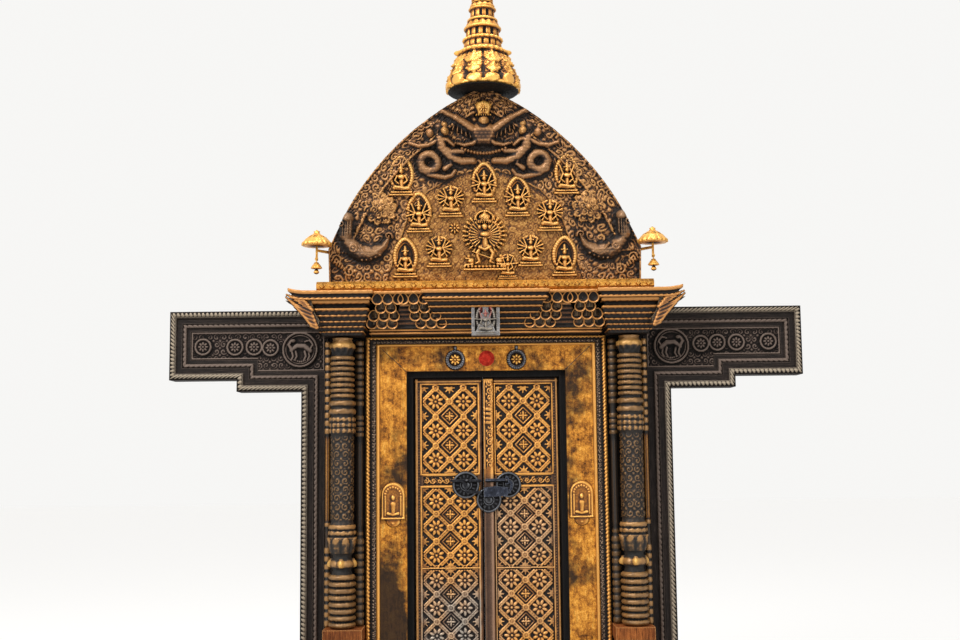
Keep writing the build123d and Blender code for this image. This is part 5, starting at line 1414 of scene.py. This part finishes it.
# Beaded bar on the cornice: the ridge value paints highlight on the beads and shade in the grooves
# between them
BEAD_PITCH, BAR_HALF, BAR_Y, BAR_Z = 49.5, 820, -212, 2218.5
S, Q = np.meshgrid(np.linspace(-BAR_HALF, BAR_HALF, 411), np.linspace(0, 1, 17))
turn = math.radians(-100) + Q * math.radians(215)
near = (S + BEAD_PITCH / 2) % BEAD_PITCH - BEAD_PITCH / 2
arc = (Q - 0.5) * 95
bulge = np.sqrt(np.clip(1 - (near ** 2 + arc ** 2) / 18 ** 2, 0, 1)) * 8
swirl = np.cos(FULL * (S + arc * 0.6) / (BEAD_PITCH / 3))
rope_round = np.sqrt(np.clip((BAR_HALF + 0.5 - np.abs(S)) / 22, 0, 1))
R = (16 + bulge + 1.0 * swirl * (bulge < 0.5)) * rope_round
grid_piece("beaded_bar", np.stack((S, BAR_Y - R * np.cos(turn), BAR_Z - R * np.sin(turn)), axis=-1),
           {"ridge": np.clip(0.14 + bulge / 10 + 0.16 * swirl * (bulge < 0.5), 0, 1),
            "tint": np.zeros_like(S)}, "frame", bright_gold)

# Corner leaves under the cornice tips: layered strokes that fan outwards
for side, label in SIDES:
    c = Canvas(796, 972, 2004, 2196, 3.0)
    c.H += SUNK
    for i in range(9):
        start = (812 + 4 * i, 2016 + 10 * i)
        tip = (850 + 14 * i, 2040 + 15.5 * i)
        c.tube([start, ((start[0] + tip[0]) / 2 + 8, (start[1] + tip[1]) / 2 - 4), tip], 12,
               14 + 2 * (i % 2), r1=3)
    for i in range(5):
        c.tube([(834 + 10 * i, 2100 + 12 * i), (880 + 20 * i, 2120 + 14 * i)], 10, 20, r1=3)
    H, keep = c.cut_out(-1.0)
    carving("corner_leaf_" + label, side * c.U, -261, H, c.W, (3, 7), "frame", lipped,
            keep=keep)

# Carved panels of the wings, which step up beside the door
WING_IN, WING_OUT, WING_FOOT, WING_TOP = 805.3, 1475.7, 1823.3, 2024.7
STEP_X, STEP_Z = 1140, 1883.3
for side, label in SIDES:
    c = Canvas(WING_IN, WING_OUT, WING_FOOT, WING_TOP, 3.4)
    c.H += 4.0 * scrolls(c.U + 5 * soft_noise(c.H.shape, 9, 41), c.W, 36) + 1.0
    for u, w in ((1416, 1950), (1256, 1947), (1160, 1947), (1078, 1942)):
        c.dome(u, w, 44, 5, power=0.2)
        c.ring(u, w, 38, 6, 13)
        c.flower(u, w, 28, 12, count=8, fat=0.5)
    c.dome(930, 1932, 90, 4, power=0.1)
    c.ring(930, 1932, 84, 6, 15)
    c.ring(930, 1932, 71, 4, 10)
    c.tube([(880, 1926), (908, 1948), (944, 1950), (972, 1930)], 17, 15, r1=13)
    c.tube([(972, 1934), (986, 1956), (976, 1974)], 11, 16, r1=8)
    c.dome(966, 1976, 15, 17, rw=11)
    for leg in (888, 906, 952, 970):
        c.tube([(leg, 1924), (leg - 6, 1898), (leg + 4, 1880)], 8, 13, r1=5)
    c.tube([(880, 1930), (866, 1958), (884, 1978), (906, 1972)], 6, 13, r1=4)
    for k in range(10):
        c.dome(882 + 10 * k, 1870 + 3 * abs(k - 4.5), 6, 10)
    off = np.minimum.reduce([c.U - WING_IN, WING_OUT - c.U, WING_TOP - c.W,
                             np.where(c.U > STEP_X, c.W - STEP_Z, c.W - WING_FOOT)])
    c.H = np.where(off < 9, 9.0, c.H)
    keep_at = (c.U < STEP_X) | (c.W > 1882)
    keep = keep_at[:-1, :-1] & keep_at[1:, :-1] & keep_at[:-1, 1:] & keep_at[1:, 1:]
    carving("wing_carving_" + label, side * c.U, -4, np.where(off < 2, 0.0, c.H), c.W, (3, 7),
            "frame", carved_wood, ("wing_panel_" + label,), keep)

# Rope strip and leaf strip round the outer frame
OUTER_EDGE = [(-918, 150), (-918, 1723), (-1240, 1723), (-1240, 1783), (-1576, 1783),
              (-1576, 2125), (1576, 2125), (1576, 1783), (1240, 1783), (1240, 1723), (918, 1723),
              (918, 150)]
rope = outset(OUTER_EDGE, -31.0)
band("rope_strip", OUTER_EDGE, rope,
     [(0.02, 0), (0.04, 2), (0.16, 2), (0.2, 5), (0.3, 8), (0.4, 9.5), (0.5, 10), (0.6, 9.5),
      (0.7, 8), (0.8, 5), (0.84, 2), (0.96, 2), (0.98, 0)], 5.0, facing(-39.8), cream_edge,
     detail=lambda S, T, H: np.where(between(T, 0.17, 0.83),
                                     3.0 * np.sin(FULL * (S + T * 24) / 21), 0))
inner_path = outset(OUTER_EDGE, -62.0)
band("leaf_strip", inner_path, outset(inner_path, -18.0),
     [(0.0, 0), (0.03, 3), (0.25, 6), (0.5, 7), (0.75, 6), (0.97, 3), (1.0, 0)], 6.0,
     facing(-21.8), carved_wood,
     detail=lambda S, T, H: np.where(between(T, 0.1, 0.9), 2.0 * np.cos(FULL * S / 26), 0))

# Gilt moulding: fillet, patterned dark band and dotted outer strip
INNER_LINE = [(-530, 150), (-530, 1941), (530, 1941), (530, 150)]
OUTER_LINE = [(-600, 150), (-600, 1990), (600, 1990), (600, 150)]
band("gilt_moulding_carved", INNER_LINE, OUTER_LINE,
     [(0.0, 0), (0.01, 26), (0.06, 29), (0.12, 30), (0.2, 29), (0.25, 25), (0.27, 17), (0.31, 16),
      (0.36, 16), (0.41, 16), (0.46, 16), (0.51, 16), (0.56, 16), (0.61, 16), (0.65, 17),
      (0.67, 28), (0.71, 34), (0.77, 37), (0.83, 38), (0.89, 37), (0.95, 34), (0.99, 28),
      (1.0, 0)], 4.5, facing(5.0), gilt_carved, ("gilt_moulding",), gain=8.0,
     detail=lambda S, T, H: np.where(between(T, 0.28, 0.66), 5.5 * scrolls(S, T * 66, 22), 0)
     + np.where(between(T, 0.7, 0.97), 2.5 * np.cos(FULL * S / 18), 0),
     tint=lambda S, T, H: 0.75 * between(T, 0.26, 0.66))
for side, label in SIDES:
    line = [(side * 397, 1817), (side * 530, 1941)]
    band("mitre_" + label, line, outset(line, 3.5),
         [(0, 0), (0.1, 1), (0.5, 1.4), (0.9, 1), (1, 0)], 12, facing(-14.9), iron)

# Ringed discs on the lintel
GILT_FRONT = -15
DISC_X, DISC_Z = 153, 1872
for side, label in SIDES:
    c = Canvas(side * DISC_X - 54, side * DISC_X + 54, 1820, 1940, 2.2)
    c.H += SUNK
    c.at = (side * DISC_X, DISC_Z, 1.0)
    c.tint = 0.0
    c.dome(0, 60, 9, 12, rw=14)
    for k in range(24):
        angle = FULL * k / 24
        c.dome(42 * math.cos(angle), 44 * math.sin(angle), 8, 15)
    c.ring(0, 0, 36, 6, 12)
    c.tint = 1.0
    c.dome(0, 0, 31, 9, power=0.2)
    c.flower(0, 0, 28, 15, base=7, fat=0.5)
    H, keep = c.cut_out()
    carving("lintel_disc_" + label, c.U, GILT_FRONT, H, c.W, (3, 8), "frame", iron_and_gold,
            ("lintel_rings",) if side < 0 else (), keep, c.T)

# Arched niches on the jambs
NICHE_X = 465
ARCH = [(60 * math.cos(math.radians(a)), 60 * math.sin(math.radians(a)))
        for a in range(180, -1, -15)]


def arched(half, foot, share=1.0):
    """The outline of an arch on two upright sides."""
    return [(-half, foot), *((share * x, 1208 + share * z) for x, z in ARCH), (half, foot)]


for side, label in SIDES:
    c = Canvas(side * NICHE_X - 66, side * NICHE_X + 66, 1040, 1276, 2.6)
    c.H += SUNK
    c.at = (side * NICHE_X, 0.0, 1.0)
    c.dome(0, 1085, 36, 10, power=0.25)
    c.dome(0, 1068, 12, 12, rw=9)
    c.plate(arched(60, 1085), 6, bevel=3)
    c.tube(arched(52, 1096, 0.86), 5, 12)
    c.plate(arched(50, 1096, 0.82), 9.5, bevel=2)
    for k in range(9):
        angle = math.radians(20 * k + 10)
        c.dome(*polar(0, 1206, 38, angle), 8, 13)
    for s in (-1, 1):
        c.tube([(s * 38, 1108), (s * 38, 1200)], 6, 13)
    c.tube([(-54, 1092), (54, 1092)], 6, 14)
    c.tube([(-26, 1116), (0, 1110), (26, 1116)], 10, 15)
    c.tube([(0, 1122), (0, 1160)], 15, 15, r1=19)
    c.dome(0, 1192, 13, 16, rw=17)
    H, keep = c.cut_out()
    carving("jamb_niche_" + label, c.U, GILT_FRONT, H, c.W, (3, 8), "frame", bright_gold,
            ("jamb_plaques",) if side < 0 else (), keep)

# Plaque in the middle, with a seated figure and red powder
PLAQUE_HALF, PLAQUE_FOOT, PLAQUE_TOP = 67, 1974, 2145
c = Canvas(-PLAQUE_HALF, PLAQUE_HALF, PLAQUE_FOOT, PLAQUE_TOP, 2.2)
c.H += 2
off = np.minimum.reduce([c.U + PLAQUE_HALF, PLAQUE_HALF - c.U, c.W - PLAQUE_FOOT,
                         PLAQUE_TOP - c.W])
c.H = np.where(off < 14, 17.0, c.H)
c.at = (0, 2046, 0.82)
seated(c, 3)
c.H = np.where(off < 1, 0.0, c.H)
red = np.clip((c.W - 2050) / 26, 0, 1) * np.clip((34 - np.abs(c.U)) / 12, 0, 1)
red = red * np.clip(0.8 + 0.5 * soft_noise(c.H.shape, 6, 51), 0, 1)
carving("centre_plaque_carved", c.U, -213.5, c.H, c.W, (3, 9), "frame", silver_and_red,
        tint=red)

# Cover strip: carved above the lock, plain half-round below
STRIP_WIDE = 52.2
W, Q = np.meshgrid(np.linspace(LEAF_FOOT + 1, LEAF_HEAD - 1, 380), np.linspace(0, 1, 21),
                   indexing="ij")
round_off = np.sqrt(np.clip(1 - (2 * Q - 1) ** 2, 0, 1))
upper = W > 1330
H = 12 + 12 * round_off
H = np.where(upper & (Q < 0.28), 16 + 6 * np.sqrt(np.clip(1 - ((Q - 0.14) / 0.14) ** 2, 0, 1)), H)
carve = 7.0 * scrolls(STRIP_WIDE * (Q - 0.30), W, 37) - 3.0
H = np.where(upper & (Q > 0.3), H + carve * (between(W, 1340, 1540) | between(W, 1645, 1772)), H)
for middle in (1560, 1580, 1604, 1626):
    hoop = 5 * np.sqrt(np.clip(1 - ((W - middle) / 9) ** 2, 0, 1)) * round_off
    H = H + np.where(np.abs(W - middle) < 9, hoop, 0)
H[:, 0] = H[:, -1] = 0
H[0] = H[-1] = 0
carving("cover_strip_carved", -16.7 + STRIP_WIDE * Q, LEAF_FRONT, H, W, (3, 7), "leaf_right",
        gilt_carved, ("cover_strip",), tint=-np.clip((1320 - W) / 60, 0.15, 1.0))


# Lock: embossed round plates, and bars with knobs
def plate_data(x, z, front, radius, petals_round, low=-FAR, high=FAR):
    """A round plate with a boss and two rings, cut off at low and high where it is given."""
    R, A = rings(np.linspace(0.3, radius, 26), 72)
    share = R / radius
    H = 8 + 1.4 * np.cos(A * petals_round) * between(share, 0.5, 0.78)
    H = H + 3 * between(share, 0.84, 0.95)
    H = H + 9 * np.sqrt(np.clip(1 - (share / 0.32) ** 2, 0, 1)) + 3 * between(share, 0.36, 0.44)
    H = np.where(share > 0.97, 0, H)
    X = np.clip(x + R * np.cos(A), low, high)
    return sheet_data(np.stack((X, front - H, z + R * np.sin(A)), axis=-1),
                      {"ridge": ridge_of(H, 2, 7, wrap=True), "tint": np.zeros_like(H)},
                      closed=True, way="front")


def bar_data(x0, x1, z, y, r):
    """A round bar from x0 to x1 with rounded ends."""
    X, Q = rings(np.linspace(x0, x1, 22), 16)
    R = r * np.sqrt(np.clip(np.minimum(X - x0, x1 - X) / (0.6 * r), 0, 1)) + 0.01
    # Lighter on top and darker underneath: painted highlight and painted shade
    return sheet_data(np.stack((X, y + R * np.cos(Q), z + R * np.sin(Q)), axis=-1),
                      {"ridge": np.clip(0.55 + 0.4 * np.sin(Q), 0, 1), "tint": np.zeros_like(X)},
                      closed=True)


PLATE_X, PLATE_Z, PLATE_FRONT = 106, 1250, 47
DISC = (8, 1176)
for name, parts, body, stood_for in (
        ("lock_plate_carved_left", [plate_data(-PLATE_X, PLATE_Z, PLATE_FRONT, 69, 14)],
         "leaf_left", ("lock_plate_left",)),
        ("lock_plate_carved_right", [plate_data(PLATE_X, PLATE_Z, PLATE_FRONT, 65, 14),
                                     plate_data(*DISC, 37, 64, 12, low=-17)],
         "leaf_right", ("lock_plates_right",)),
        ("lock_bar_left", [bar_data(-178, -25, 1270, 22, 7), bar_data(-112, -92, 1270, 12, 10)],
         "leaf_left", ()),
        ("lock_bar_right", [bar_data(-12, 92, 1270, 22, 7), bar_data(88, 106, 1268, 12, 12)],
         "leaf_right", ()),
        ("lock_disc_part_left", [plate_data(*DISC, PLATE_FRONT, 64, 12, high=-23.2)],
         "leaf_left", ())):
    piece_of(name, parts, body, iron_carved, stood_for)


# Stage: pale floor, soft light, white surroundings
floor_mesh = bpy.data.meshes.new("floor")
floor_mesh.from_pydata([(-30, -30, 0), (30, -30, 0), (30, 30, 0), (-30, 30, 0)], [],
                       [(0, 1, 2, 3)])
floor = add_object("floor", floor_mesh)
floor_finish = Finish("floor")
floor_finish.set(Base_Color=(0.5, 0.495, 0.485), Roughness=0.9)
rays = floor_finish.node("LightPath").outputs
floor_seen = floor_finish.sum("MAXIMUM", rays["Is Camera Ray"], rays["Is Glossy Ray"])
floor_finish.set(Emission_Color=(1.0, 0.99, 0.97),
                 Emission_Strength=floor_finish.sum("MULTIPLY", floor_seen, 0.76))
floor_mesh.materials.append(floor_finish.material)


def lamp(name, place, aim, size, power):
    """A square area lamp turned towards a point, in metres and watts."""
    data = bpy.data.lights.new(name, "AREA")
    data.size = size
    data.energy = power
    obj = add_object(name, data)
    obj.location = place
    obj.rotation_euler = (Vector(aim) - Vector(place)).to_track_quat("-Z", "Y").to_euler()


lamp("key", (-3.6, -4.6, 5.6), (0, 0, 1.8), 2.2, 400)
lamp("fill", (4.2, -5.0, 2.6), (0, 0, 1.6), 3.2, 110)
lamp("top", (0.5, -1.6, 6.5), (0, -0.1, 2.0), 1.6, 110)

world = bpy.data.worlds.new("studio")
scene.world = world
world.use_nodes = True
sky = Tree(world.node_tree)
soft = sky.node("Background", {"Strength": 0.3})
seen = sky.node("Background", {"Color": (0.93, 0.925, 0.91)})
rays = sky.node("LightPath").outputs
either = sky.sum("MAXIMUM", rays["Is Camera Ray"], rays["Is Glossy Ray"])
either = sky.sum("MAXIMUM", either, rays["Is Transmission Ray"])
blend = sky.node("MixShader", {0: either, 1: soft.outputs[0], 2: seen.outputs[0]})
sky.node("OutputWorld", {0: blend.outputs[0]})
